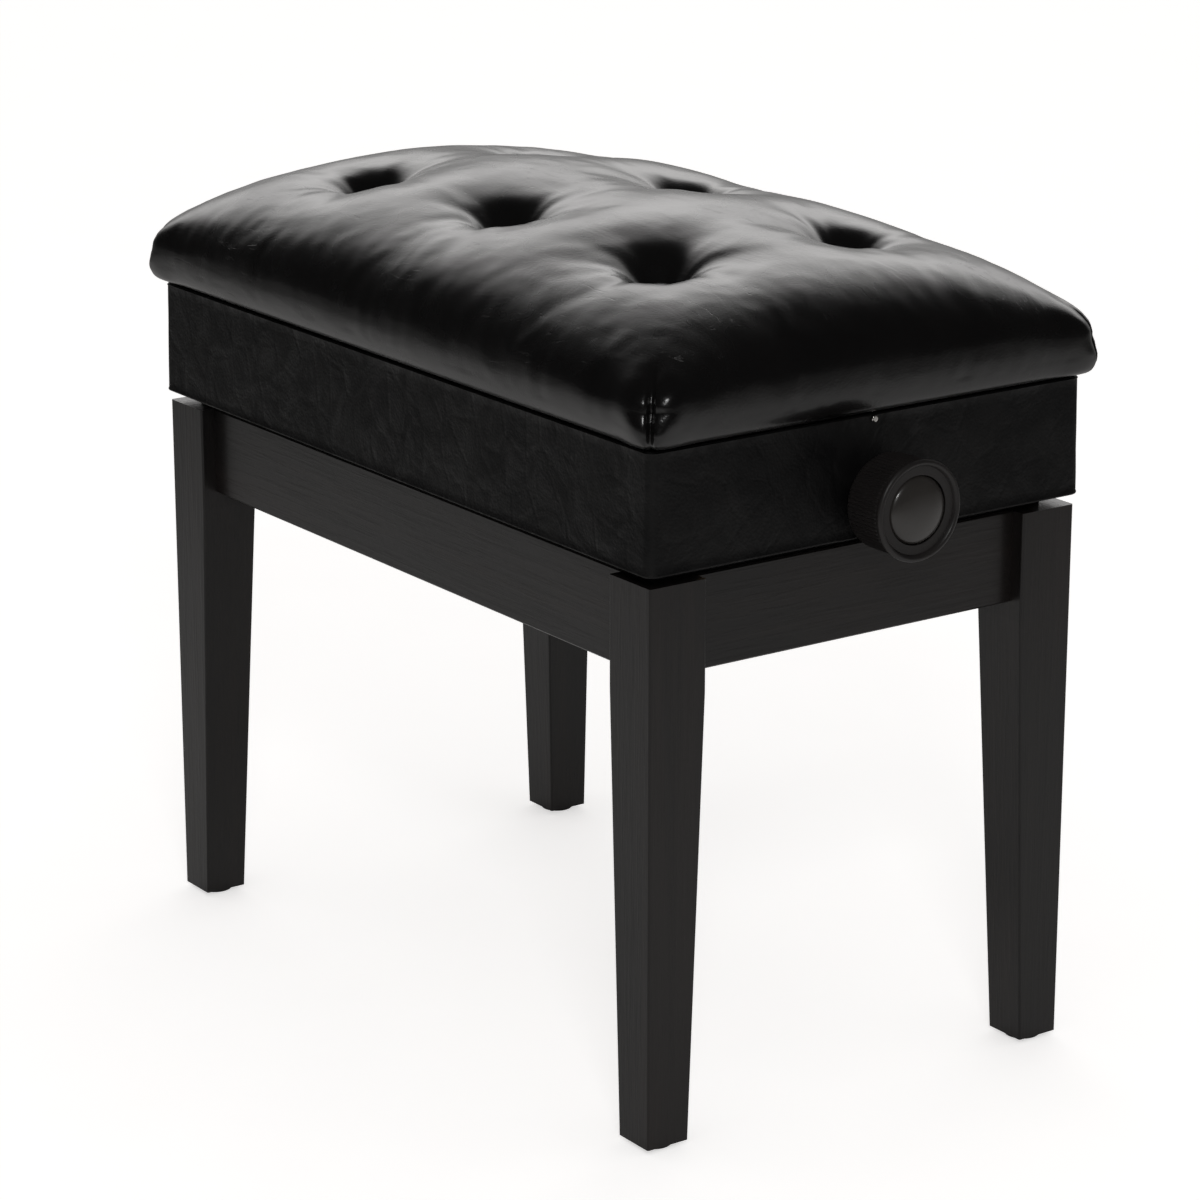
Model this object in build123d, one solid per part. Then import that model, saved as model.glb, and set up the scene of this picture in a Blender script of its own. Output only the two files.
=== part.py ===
"""Adjustable piano bench.

A wooden leg frame carries a screw-driven scissor lift. The lift raises a
leather-wrapped box with a buttoned cushion on top of it. Turning either end
knob turns the spindle, which pulls the crosshead along and opens the scissors.

Frame: millimetres, origin on the floor under the middle of the bench, +Z up,
+X along the length, -Y towards the front. The lift stands at its lowest.
"""

import math
import os

from build123d import *

# ---- Leg frame ----
LEG_HEIGHT = 331.0  # floor to leg top, glides included
LEG_TOP_SIZE = 38.0  # square section at the rails
LEG_FOOT_SIZE = 28.0  # square section at the floor
LEG_EDGE = 1.2  # rounding of a leg's long edges
LEG_INSET = 2.0  # leg face behind the box face
RAIL_HEIGHT = 55.0
RAIL_THICK = 16.0
RAIL_RECESS = 9.5  # rail face behind the leg face
RAIL_EDGE = 1.0
CORNER_CUT = 12.0  # 45 degree cut on a leg's inner corner, along each face
CUT_RUNOUT = 15.0  # height over which that cut runs out
CUT_BELOW_RAIL = 10.0  # how far the run-out ends below the rail
GLIDE_RADIUS = 11.0
GLIDE_THICK = 3.0
GLIDE_PIN_RADIUS = 1.5
GLIDE_PIN_LENGTH = 16.0

# ---- Corner fixings ----
BRACKET_THICK = 2.0
BRACKET_HEIGHT = 30.0
BRACKET_FLANGE = 22.0
BRACKET_GAP = 7.0  # leg's cut face to the bracket plate
BRACKET_SCREW_OUT = 13.2  # screws beyond the bend, along the flange
HANGER_RADIUS = 4.0
HANGER_IN_LEG = 30.0
HANGER_OUT = 36.0  # length standing out of the leg's cut face
HANGER_HOLE_PLAY = 0.5
WASHER_RADIUS = 9.0
WASHER_THICK = 1.6
WING_HUB_RADIUS = 7.0
WING_HUB_HEIGHT = 9.0
WING_SPAN = 32.0
WING_THICK = 3.0
WING_HEIGHT = 14.0
WING_ABOVE_WASHER = 1.0
WING_CORNER = 1.0

# ---- Screws ----
SCREW_RADIUS = 2.0
SCREW_HEAD_RADIUS = 4.0
SCREW_HEAD_THICK = 2.0
SCREW_IN_WOOD = 11.0
SCREW_IN_BOARD = 7.2  # screw tip inside a 12 mm board or panel

# ---- Leather-wrapped box ----
BOX_LENGTH = 525.0
BOX_WIDTH = 306.0
BOX_HEIGHT = 70.0
BOX_CORNER = 6.0
BOX_GAP = 6.0  # leg top to box bottom
PANEL_THICK = 12.0
SKIN_THICK = 1.0
HEM_HEIGHT = 13.0  # leather turned up inside the panels
NOTCH_RADIUS = 10.0  # half-width of the slot that clears the spindle
CORNER_BLOCK = 25.0
CORNER_BLOCK_DROP = 55.0  # height of a corner block
BLOCK_SCREW_LOW = 41.25  # screw into the end panel, below the box top
BLOCK_SCREW_HIGH = 19.25  # screw into the long panel, below the box top
NAIL_HEAD_RADIUS = 2.2
NAIL_HEAD_THICK = 1.2
NAIL_HEAD_ROUND = 0.96
NAIL_SHANK_RADIUS = 0.9
NAIL_LENGTH = 10.0
NAIL_BELOW_TOP = 2.6

# ---- Seat ----
BOARD_THICK = 12.0
BOARD_INSET = 5.0  # board edge behind the box face
SEAM_GAP = 1.7  # box top to cushion underside
CUSHION_HEIGHT = 84.3
CUSHION_PROUD_X = 12.5  # cushion beyond the box at each end
CUSHION_PROUD_Y = 11.0
CUSHION_CORNER = 14.0
CUSHION_TOP_ROUND = 24.0
CUSHION_BOTTOM_ROUND = 7.0
COVER_THICK = 2.0
TUFT_PITCH_X = 152.0
TUFT_PITCH_Y = 131.0
TUFT_COLUMNS = 3
TUFT_ROWS = 2
TUFT_DEPTH = 30.0
TUFT_MOUTH_RADIUS = 24.0
TUFT_FLOOR_RADIUS = 10.0
BUTTON_RADIUS = 9.0
BUTTON_THICK = 6.0
BUTTON_ROUND = 4.2
TIE_RADIUS = 0.8
TIE_WASHER_RADIUS = 6.0
TIE_WASHER_THICK = 1.2

# ---- Scissor lift ----
PIVOT_ABOVE_LEG = 29.5  # lower pivots and spindle above the leg tops
ARM_LENGTH = 300.0  # between an arm's end pivots
ARM_RISE = 30.0  # upper pivots above the lower ones at the lowest position
ARM_WIDTH = 24.0
ARM_THICK = 4.0
LIFT_ANGLE = 18.8  # degrees that an arm swings from lowest to highest
SHEET = 3.0  # gauge of the lift's folded steel
RUNNING = 0.05  # radial play of a pin that turns in its hole
FACE_PLAY = 0.2  # end play between parts that turn past each other
PIN_RADIUS = 4.0
PIN_HEAD_RADIUS = 7.0
PIN_HEAD_THICK = 1.5
SPACER_WALL = 2.0  # spacer between the arms, round the middle pin
LIFT_RAIL_LENGTH = 400.0
LIFT_RAIL_FLANGE = 20.0
LIFT_RAIL_WALL_GAP = 2.0  # lift rail flange to the box panel
LIFT_RAIL_BELOW_PIVOT = 12.0
LIFT_CROSS_WIDTH = 20.0
LIFT_CROSS_END = 5.0  # cross strap's edge to the end of the lift rails
LIFT_SCREW_END = 15.0  # last screw to the end of the lift rails
OUTER_ARM_GAP = 2.0  # lift rail web to the outer arm
BASE_WEB_GAP = 1.0  # outer arm to the base rail web
INNER_ARM_GAP = 5.0  # base rail web to the inner arm
BASE_WALL_GAP = 3.0  # base rail flange to the box panel
BASE_WEB_ABOVE_PIVOT = 7.0
BASE_END_HALF_WIDTH = 35.0
BASE_END_ABOVE_PIVOT = 20.0
BASE_END_FLANGE = 12.0
BASE_SCREWS_X = (70.0, 190.0)  # screws in each half of a base rail
ROLLER_RADIUS = 6.0
ROLLER_PLAY = 0.3
ROLLER_HEAD_OVERLAP = 2.0  # slide pin head beyond the roller
TOP_SHAFT_RADIUS = 5.0
TOP_SHAFT_END = 3.0  # shaft beyond the lift rail web
SHAFT_COLLAR_RADIUS = 9.0
SHAFT_COLLAR_THICK = 1.5

# ---- Spindle, crosshead and knobs ----
SPINDLE_RADIUS = 6.0
THREAD_PITCH = 3.0
SPINDLE_CHAMFER = 1.0
BUSH_WALL = 3.0
BUSH_FLANGE = 3.0  # bush flange beyond the bush body, radially
BUSH_FLANGE_THICK = 2.0
COLLAR_RADIUS = 11.0
COLLAR_LENGTH = 8.0
COLLAR_CHAMFER = 0.8
CROSSHEAD_SIZE = 26.0
CROSSHEAD_WIDTH = 40.0
CROSSHEAD_CHAMFER = 2.0
CROSS_SHAFT_RADIUS = 6.0
CROSS_SHAFT_SOCKET = 10.0
CROSS_SHAFT_END = 3.0  # shaft beyond the inner arm
KNOB_GAP = 1.5  # box face to knob hub
KNOB_HUB_RADIUS = 13.0
KNOB_HUB_LENGTH = 8.0
KNOB_LENGTH = 40.0
KNOB_RADIUS = 29.0
KNOB_BODY_RADIUS = 27.5
KNOB_RIM_LENGTH = 5.0
KNOB_EDGE = 1.2
KNOB_RIM_WALL = 4.0
KNOB_GROOVE_DEPTH = 3.0
KNOB_FLUTES = 24
KNOB_FLUTE_RADIUS = 2.2
KNOB_FLUTE_DEPTH = 1.1
CAP_RADIUS = 19.5
CAP_SEAT_DEPTH = 8.0
CAP_PROUD = 1.5
CAP_EDGE = 2.0
SPINDLE_IN_KNOB = 26.0
SET_SCREW_RADIUS = 2.5
SET_SCREW_LENGTH = 6.5

# ---- Cutting shapes ----
BEYOND = 1.0  # a cutting shape starts this far outside the piece it cuts

# ---- Heights ----
RAIL_BOTTOM = LEG_HEIGHT - RAIL_HEIGHT
TAPER_TOP = RAIL_BOTTOM - CUT_BELOW_RAIL
BOX_BOTTOM = LEG_HEIGHT + BOX_GAP
BOX_TOP = BOX_BOTTOM + BOX_HEIGHT
BOARD_TOP = BOX_TOP + BOARD_THICK
CUSHION_BOTTOM = BOX_TOP + SEAM_GAP
CUSHION_TOP = CUSHION_BOTTOM + CUSHION_HEIGHT
TUFT_FLOOR = CUSHION_TOP - TUFT_DEPTH
LOWER_PIVOT_Z = LEG_HEIGHT + PIVOT_ABOVE_LEG
UPPER_PIVOT_Z = LOWER_PIVOT_Z + ARM_RISE
FIXING_Z = LEG_HEIGHT - RAIL_HEIGHT / 2
BASE_FLANGE_TOP = LEG_HEIGHT + SHEET

# ---- Places along X ----
LEG_OUT_X = BOX_LENGTH / 2 - LEG_INSET
RAIL_OUT_X = LEG_OUT_X - RAIL_RECESS
RAIL_IN_X = RAIL_OUT_X - RAIL_THICK
PANEL_OUT_X = BOX_LENGTH / 2 - SKIN_THICK
PANEL_IN_X = PANEL_OUT_X - PANEL_THICK
ARM_TILT = math.asin(ARM_RISE / ARM_LENGTH)
PIVOT_X = ARM_LENGTH * math.cos(ARM_TILT) / 2
ARM_TILT_RAISED = ARM_TILT + math.radians(LIFT_ANGLE)
SLIDE_TRAVEL = ARM_LENGTH * (math.cos(ARM_TILT) - math.cos(ARM_TILT_RAISED))
LIFT_STROKE = ARM_LENGTH * math.sin(ARM_TILT_RAISED) - ARM_RISE
BASE_END_X = RAIL_IN_X  # outer face of the base end plates
BASE_END_IN_X = BASE_END_X - SHEET
KNOB_X = BOX_LENGTH / 2 + KNOB_GAP

# ---- Planes across Y, from the box wall inwards ----
LEG_OUT_Y = BOX_WIDTH / 2 - LEG_INSET
RAIL_OUT_Y = LEG_OUT_Y - RAIL_RECESS
RAIL_IN_Y = RAIL_OUT_Y - RAIL_THICK
PANEL_OUT_Y = BOX_WIDTH / 2 - SKIN_THICK
PANEL_IN_Y = PANEL_OUT_Y - PANEL_THICK
LIFT_FLANGE_Y = PANEL_IN_Y - LIFT_RAIL_WALL_GAP
LIFT_WEB_Y = LIFT_FLANGE_Y - LIFT_RAIL_FLANGE
OUTER_ARM_Y = LIFT_WEB_Y - OUTER_ARM_GAP - ARM_THICK
BASE_WEB_Y = OUTER_ARM_Y - BASE_WEB_GAP - SHEET
INNER_ARM_Y = BASE_WEB_Y - INNER_ARM_GAP - ARM_THICK
BASE_FLANGE_Y = PANEL_IN_Y - BASE_WALL_GAP

# ---- Along a leg's diagonal, from its outer corner inwards ----
INWARD = (-math.sqrt(0.5), -math.sqrt(0.5), 0)
CUT_FACE = (2 * LEG_TOP_SIZE - CORNER_CUT) / math.sqrt(2)
INNER_CORNER = LEG_TOP_SIZE * math.sqrt(2)
BRACKET_BACK = CUT_FACE + BRACKET_GAP + BRACKET_THICK


# ---- Shared shapes ----
def block(x, y, z):
    """Rectangular block between two values on each axis."""
    middle = Pos((x[0] + x[1]) / 2, (y[0] + y[1]) / 2, (z[0] + z[1]) / 2)
    return middle * Box(x[1] - x[0], y[1] - y[0], z[1] - z[0])


def bar(start, direction, length, radius):
    """Round bar that runs from start along direction."""
    base = (Align.CENTER, Align.CENTER, Align.MIN)
    return Plane(origin=start, z_dir=direction) * Cylinder(radius, length, align=base)


def rounded_block(length, width, corner, z):
    """Block centred on the Z axis, with its four upright edges rounded."""
    outline = RectangleRounded(length, width, corner)
    return Pos(0, 0, z[0]) * extrude(outline, z[1] - z[0])


def flip_x(shape):
    """The same piece at the other end of the bench."""
    return shape.mirror(Plane.YZ)


def flip_y(shape):
    """The same piece on the other long side of the bench."""
    return shape.mirror(Plane.XZ)


def four_corners(shape):
    """The piece at each corner, from the one drawn at +X, +Y."""
    return [shape, flip_x(shape), flip_y(shape), flip_x(flip_y(shape))]


def front_and_back(shape):
    """The piece on both long sides, from the one drawn at +Y."""
    return [flip_y(shape), shape]


def screw(seat, direction, length=SCREW_IN_WOOD):
    """Pan-head wood screw whose shank enters the wood at seat."""
    along = Vector(*direction)
    shank = bar(seat, along, length, SCREW_RADIUS)
    head = bar(seat, along * -1, SCREW_HEAD_THICK, SCREW_HEAD_RADIUS)
    return shank + head


def cut_by(shape, tools):
    """The piece with a hole for each of the given solids."""
    for tool in tools:
        shape = shape - tool
    return shape


def save(name, shape):
    """One file for each kind of piece; like pieces share a file as separate solids."""
    whole = Compound(children=list(shape)) if isinstance(shape, (list, tuple)) else shape
    export_step(whole, f"parts/{name}.step")


# ---- Leg frame: four tapered legs and four rails ----
def corner_plane():
    """Upright plane on a leg's diagonal: x runs inwards from the outer corner, y is up."""
    return Plane(origin=(LEG_OUT_X, LEG_OUT_Y, 0), x_dir=(-1, -1, 0), z_dir=(-1, 1, 0))


def on_diagonal(distance, z=FIXING_Z):
    """Point on a leg's diagonal, at a distance from its outer corner."""
    step = distance / math.sqrt(2)
    return (LEG_OUT_X - step, LEG_OUT_Y - step, z)


def hanger_bolt():
    """Half wood screw, half machine screw, standing out of the leg's cut corner."""
    length = HANGER_IN_LEG + HANGER_OUT
    return bar(on_diagonal(CUT_FACE - HANGER_IN_LEG), INWARD, length, HANGER_RADIUS)


def glide():
    """Disc glide nailed under a foot, which is its top face."""
    x = LEG_OUT_X - LEG_FOOT_SIZE / 2
    y = LEG_OUT_Y - LEG_FOOT_SIZE / 2
    disc = bar((x, y, 0), (0, 0, 1), GLIDE_THICK, GLIDE_RADIUS)
    disc = chamfer(disc.edges().group_by(Axis.Z)[0], GLIDE_THICK / 4)
    pin = bar((x, y, GLIDE_THICK), (0, 0, 1), GLIDE_PIN_LENGTH, GLIDE_PIN_RADIUS)
    return disc + pin


def leg():
    """Square leg: the two inner faces taper, and the inner corner is cut at the rails."""

    def section(size, z):
        centre = Pos(LEG_OUT_X - size / 2, LEG_OUT_Y - size / 2, z)
        return centre * Rectangle(size, size)

    foot = section(LEG_FOOT_SIZE, GLIDE_THICK)
    knee = section(LEG_TOP_SIZE, TAPER_TOP)
    shaft = loft([foot.face(), knee.face()])
    body = shaft + extrude(knee, LEG_HEIGHT - TAPER_TOP)
    upright = [edge for edge in body.edges() if edge.bounding_box().size.Z > LEG_TOP_SIZE]
    body = fillet(upright, LEG_EDGE)
    depth = INNER_CORNER - CUT_FACE
    beyond = 2 * depth
    corner_cut = Polygon(
        (CUT_FACE, TAPER_TOP + CUT_RUNOUT),
        (CUT_FACE, LEG_HEIGHT + BEYOND),
        (CUT_FACE + beyond, LEG_HEIGHT + BEYOND),
        (CUT_FACE + beyond, TAPER_TOP + CUT_RUNOUT * (1 - beyond / depth)),
        align=None,
    )
    body = body - extrude(corner_plane() * corner_cut, LEG_TOP_SIZE, both=True)
    return cut_by(body, [hanger_bolt(), glide()])


def corner_bracket():
    """Folded steel plate across a corner, its two flanges flat on the rails."""
    rail_face = RAIL_RECESS + RAIL_THICK
    plate = math.sqrt(2) * (CUT_FACE + BRACKET_GAP) - rail_face
    mitre = BRACKET_THICK * math.tan(math.pi / 8)
    inner = rail_face + BRACKET_THICK
    end = plate + BRACKET_FLANGE
    outline = [
        (end, rail_face),
        (plate, rail_face),
        (rail_face, plate),
        (rail_face, end),
        (inner, end),
        (inner, plate + mitre),
        (plate + mitre, inner),
        (end, inner),
    ]
    points = [(LEG_OUT_X - x, LEG_OUT_Y - y) for x, y in outline]
    base = Pos(0, 0, FIXING_Z - BRACKET_HEIGHT / 2) * Polygon(*points, align=None)
    body = extrude(base, BRACKET_HEIGHT, dir=(0, 0, 1))
    hole = bar(on_diagonal(CUT_FACE), INWARD, HANGER_OUT, HANGER_RADIUS + HANGER_HOLE_PLAY)
    return cut_by(body, [hole] + bracket_screws())


def bracket_screws():
    """Four screws of one bracket: two through each flange into a rail."""
    rail_face = RAIL_RECESS + RAIL_THICK
    plate = math.sqrt(2) * (CUT_FACE + BRACKET_GAP) - rail_face
    reach = plate + BRACKET_SCREW_OUT
    seat = rail_face + BRACKET_THICK
    screws = []
    for side in (-1, 1):
        z = FIXING_Z + side * BRACKET_HEIGHT / 4
        screws.append(screw((LEG_OUT_X - reach, LEG_OUT_Y - seat, z), (0, 1, 0)))
        screws.append(screw((LEG_OUT_X - seat, LEG_OUT_Y - reach, z), (1, 0, 0)))
    return screws


def bolt_washer():
    """Flat washer on the hanger bolt, against the bracket."""
    disc = bar(on_diagonal(BRACKET_BACK), INWARD, WASHER_THICK, WASHER_RADIUS)
    return disc - hanger_bolt()


def wing_nut():
    """Pressed wing nut that draws the leg into the corner."""
    seat = BRACKET_BACK + WASHER_THICK
    hub = bar(on_diagonal(seat), INWARD, WING_HUB_HEIGHT, WING_HUB_RADIUS)
    middle = seat + WING_ABOVE_WASHER + WING_HEIGHT / 2
    outline = RectangleRounded(WING_HEIGHT, WING_THICK, WING_CORNER)
    blade = Pos(middle, FIXING_Z) * outline
    wings = extrude(corner_plane() * blade, WING_SPAN / 2, both=True)
    return hub + wings - hanger_bolt()


def base_flange_screws():
    """Screws that hold the lift's base to the rails, drawn at +X, +Y."""
    y = (RAIL_IN_Y + BASE_FLANGE_Y) / 2
    side = [screw((x, y, BASE_FLANGE_TOP), (0, 0, -1)) for x in BASE_SCREWS_X]
    x = BASE_END_X + BASE_END_FLANGE / 2
    end = screw((x, BASE_WEB_Y - CORNER_BLOCK, BASE_FLANGE_TOP), (0, 0, -1))
    return side + [end]


def rail_back():
    """Long rail between two legs, drawn at +Y."""
    half = LEG_OUT_X - LEG_TOP_SIZE
    body = block((-half, half), (RAIL_IN_Y, RAIL_OUT_Y), (RAIL_BOTTOM, LEG_HEIGHT))
    body = chamfer(body.edges().filter_by(Axis.X), RAIL_EDGE)
    screws = bracket_screws() + base_flange_screws()
    return cut_by(body, screws + [flip_x(item) for item in screws])


def rail_right():
    """Short rail between two legs, drawn at +X."""
    half = LEG_OUT_Y - LEG_TOP_SIZE
    body = block((RAIL_IN_X, RAIL_OUT_X), (-half, half), (RAIL_BOTTOM, LEG_HEIGHT))
    body = chamfer(body.edges().filter_by(Axis.Y), RAIL_EDGE)
    screws = bracket_screws() + base_flange_screws()
    return cut_by(body, screws + [flip_y(item) for item in screws])


# ---- Base of the lift: an angle along each long rail and one across each end ----
def base_rail():
    """Folded angle on the long rail, its web carrying the lower pivot. Drawn at +Y."""
    half = PANEL_IN_X - BASE_WALL_GAP
    flange = block((-half, half), (BASE_WEB_Y, BASE_FLANGE_Y), (LEG_HEIGHT, BASE_FLANGE_TOP))
    web_top = LOWER_PIVOT_Z + BASE_WEB_ABOVE_PIVOT
    web = block((-half, half), (BASE_WEB_Y, BASE_WEB_Y + SHEET), (LEG_HEIGHT, web_top))
    screws = base_flange_screws()
    holes = screws + [flip_x(item) for item in screws] + [lower_pivot_pin()]
    return cut_by(flange + web, holes)


def base_end():
    """Folded plate across one end, carrying a spindle bush. Drawn at +X."""
    half = BASE_WEB_Y
    x_out = BASE_END_X + BASE_END_FLANGE
    flange = block((BASE_END_IN_X, x_out), (-half, half), (LEG_HEIGHT, BASE_FLANGE_TOP))
    top = LOWER_PIVOT_Z + BASE_END_ABOVE_PIVOT
    width = (-BASE_END_HALF_WIDTH, BASE_END_HALF_WIDTH)
    plate = block((BASE_END_IN_X, BASE_END_X), width, (LEG_HEIGHT, top))
    across = plate.edges().filter_by(Axis.X).group_by(Axis.Z)[-1]
    plate = fillet(across, BASE_END_ABOVE_PIVOT / 2)
    start = (BASE_END_IN_X - BEYOND, 0, LOWER_PIVOT_Z)
    hole = bar(start, (1, 0, 0), SHEET + 2 * BEYOND, SPINDLE_RADIUS + BUSH_WALL)
    screws = base_flange_screws()
    return cut_by(flange + plate, [hole] + screws + [flip_y(item) for item in screws])


def spindle_bush():
    """Flanged bronze bush in the base end, drawn at +X."""
    start = (BASE_END_IN_X, 0, LOWER_PIVOT_Z)
    body = bar(start, (1, 0, 0), SHEET, SPINDLE_RADIUS + BUSH_WALL)
    flange_radius = SPINDLE_RADIUS + BUSH_WALL + BUSH_FLANGE
    flange = bar(start, (-1, 0, 0), BUSH_FLANGE_THICK, flange_radius)
    inside = (BASE_END_IN_X - BUSH_FLANGE_THICK - BEYOND, 0, LOWER_PIVOT_Z)
    length = SHEET + BUSH_FLANGE_THICK + 2 * BEYOND
    bore = bar(inside, (1, 0, 0), length, SPINDLE_RADIUS + RUNNING)
    return body + flange - bore


def pin(x, z, faces, heads):
    """Pivot pin across the planes from faces[0] to faces[1], with a head at each end."""
    shank = bar((x, faces[0], z), (0, 1, 0), faces[1] - faces[0], PIN_RADIUS)
    for face, direction in ((faces[0], -1), (faces[1], 1)):
        if direction in heads:
            shank = shank + bar((x, face, z), (0, direction, 0), PIN_HEAD_THICK, PIN_HEAD_RADIUS)
    return shank


def lower_pivot_pin():
    """Riveted pin that an outer arm swings on, fixed in the base rail web. Drawn at +Y."""
    outside = OUTER_ARM_Y + ARM_THICK + FACE_PLAY / 2
    return pin(PIVOT_X, LOWER_PIVOT_Z, (BASE_WEB_Y, outside), (-1, 1))


# ---- Scissor arms ----
def arm(y, low_x, hole_radii):
    """Flat bar in the plane y: low end at low_x, with a hole at each end and the middle."""
    high_x = -low_x
    low = Vector(low_x, 0, LOWER_PIVOT_Z)
    high = Vector(high_x, 0, UPPER_PIVOT_Z)
    middle = (low + high) * 0.5
    lean = math.degrees(math.atan2(UPPER_PIVOT_Z - LOWER_PIVOT_Z, high_x - low_x))
    face = Plane(origin=(middle.X, y, middle.Z), x_dir=(1, 0, 0), z_dir=(0, -1, 0))
    outline = face * Rot(0, 0, lean) * SlotCenterToCenter(ARM_LENGTH, ARM_WIDTH)
    body = extrude(outline, amount=ARM_THICK, dir=(0, 1, 0))
    for point, radius in zip((low, middle, high), hole_radii):
        start = (point.X, y - BEYOND, point.Z)
        body = body - bar(start, (0, 1, 0), ARM_THICK + 2 * BEYOND, radius)
    return body


def outer_arm():
    """Swings on the fixed lower pivot; its upper end slides in the lift rail."""
    return arm(OUTER_ARM_Y, PIVOT_X, (PIN_RADIUS + RUNNING, PIN_RADIUS, PIN_RADIUS))


def inner_arm():
    """Its lower end rides on the crosshead; its upper end carries the seat frame."""
    loose = CROSS_SHAFT_RADIUS + RUNNING
    return arm(INNER_ARM_Y, -PIVOT_X, (loose, PIN_RADIUS + RUNNING, TOP_SHAFT_RADIUS + RUNNING))


def mid_pivot_pin():
    """Fixed in the outer arm, with a spacer to the inner arm. Drawn at +Y."""
    z = (LOWER_PIVOT_Z + UPPER_PIVOT_Z) / 2
    inside = INNER_ARM_Y - FACE_PLAY / 2
    shank = pin(0, z, (inside, OUTER_ARM_Y + ARM_THICK), (-1, 1))
    spacer_start = INNER_ARM_Y + ARM_THICK + FACE_PLAY / 2
    spacer_length = OUTER_ARM_Y - spacer_start
    spacer = bar((0, spacer_start, z), (0, 1, 0), spacer_length, PIN_RADIUS + SPACER_WALL)
    return shank + spacer


def slide_pin():
    """Fixed in the outer arm's upper end, carrying the roller. Drawn at +Y."""
    outside = LIFT_WEB_Y + SHEET + FACE_PLAY
    inside = OUTER_ARM_Y
    shank = pin(-PIVOT_X, UPPER_PIVOT_Z, (inside, outside), (-1,))
    head_radius = ROLLER_RADIUS + ROLLER_HEAD_OVERLAP
    head = bar((-PIVOT_X, outside, UPPER_PIVOT_Z), (0, 1, 0), PIN_HEAD_THICK, head_radius)
    return shank + head


def slide_roller():
    """Nylon roller in the lift rail's slot, drawn at +Y."""
    start = OUTER_ARM_Y + ARM_THICK
    length = LIFT_WEB_Y + SHEET + FACE_PLAY - start
    tyre = bar((-PIVOT_X, start, UPPER_PIVOT_Z), (0, 1, 0), length, ROLLER_RADIUS)
    return tyre - slide_pin()


# ---- Crosshead: the nut that the spindle draws along ----
def cross_shaft():
    """Round shaft from the nut's side socket out through the inner arm. Drawn at +Y."""
    start = CROSSHEAD_WIDTH / 2 - CROSS_SHAFT_SOCKET
    length = INNER_ARM_Y + ARM_THICK + CROSS_SHAFT_END - start
    return bar((-PIVOT_X, start, LOWER_PIVOT_Z), (0, 1, 0), length, CROSS_SHAFT_RADIUS)


def crosshead_nut():
    """Steel block threaded on the spindle, with a socket in each side for the cross shafts."""
    half = CROSSHEAD_SIZE / 2
    body = block(
        (-PIVOT_X - half, -PIVOT_X + half),
        (-CROSSHEAD_WIDTH / 2, CROSSHEAD_WIDTH / 2),
        (LOWER_PIVOT_Z - half, LOWER_PIVOT_Z + half),
    )
    body = chamfer(body.edges().filter_by(Axis.X), CROSSHEAD_CHAMFER)
    start = (-PIVOT_X - half - BEYOND, 0, LOWER_PIVOT_Z)
    bore = bar(start, (1, 0, 0), CROSSHEAD_SIZE + 2 * BEYOND, SPINDLE_RADIUS + RUNNING)
    return cut_by(body, [bore] + front_and_back(cross_shaft()))


def shaft_clips(x, z, radius):
    """Pair of retaining rings that keep an inner arm in place on a shaft. Drawn at +Y."""
    rings = []
    outside = INNER_ARM_Y + ARM_THICK + FACE_PLAY / 2
    inside = INNER_ARM_Y - FACE_PLAY / 2 - SHAFT_COLLAR_THICK
    for start in (inside, outside):
        ring = bar((x, start, z), (0, 1, 0), SHAFT_COLLAR_THICK, SHAFT_COLLAR_RADIUS)
        hole_length = SHAFT_COLLAR_THICK + 2 * BEYOND
        rings.append(ring - bar((x, start - BEYOND, z), (0, 1, 0), hole_length, radius))
    return rings


# ---- Spindle and knobs ----
def spindle():
    """Threaded rod from knob to knob, drawn at its outside diameter."""
    half = KNOB_X + SPINDLE_IN_KNOB
    rod = bar((-half, 0, LOWER_PIVOT_Z), (1, 0, 0), 2 * half, SPINDLE_RADIUS)
    return chamfer(rod.edges(), SPINDLE_CHAMFER)


def thrust_collar():
    """Collar pinned to the spindle inside the base end. Drawn at +X."""
    x = BASE_END_IN_X - BUSH_FLANGE_THICK - FACE_PLAY
    ring = bar((x, 0, LOWER_PIVOT_Z), (-1, 0, 0), COLLAR_LENGTH, COLLAR_RADIUS)
    ring = chamfer(ring.edges(), COLLAR_CHAMFER)
    start = (x + BEYOND, 0, LOWER_PIVOT_Z)
    return ring - bar(start, (-1, 0, 0), COLLAR_LENGTH + 2 * BEYOND, SPINDLE_RADIUS)


def knob_plane():
    """Plane on the right-hand knob's inner end, its z pointing outwards."""
    return Plane(origin=(KNOB_X, 0, LOWER_PIVOT_Z), x_dir=(0, 1, 0), z_dir=(1, 0, 0))


def turned(points):
    """Solid turned about the spindle from (radius, distance along the knob) points."""
    return knob_plane() * revolve(Plane.XZ * Polygon(*points, align=None), Axis.Z)


def knob_set_screw():
    """Grub screw in the knob's hub, bearing on the spindle."""
    start = (KNOB_X + KNOB_HUB_LENGTH / 2, 0, LOWER_PIVOT_Z + SPINDLE_RADIUS)
    return bar(start, (0, 0, 1), SET_SCREW_LENGTH, SET_SCREW_RADIUS)


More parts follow.
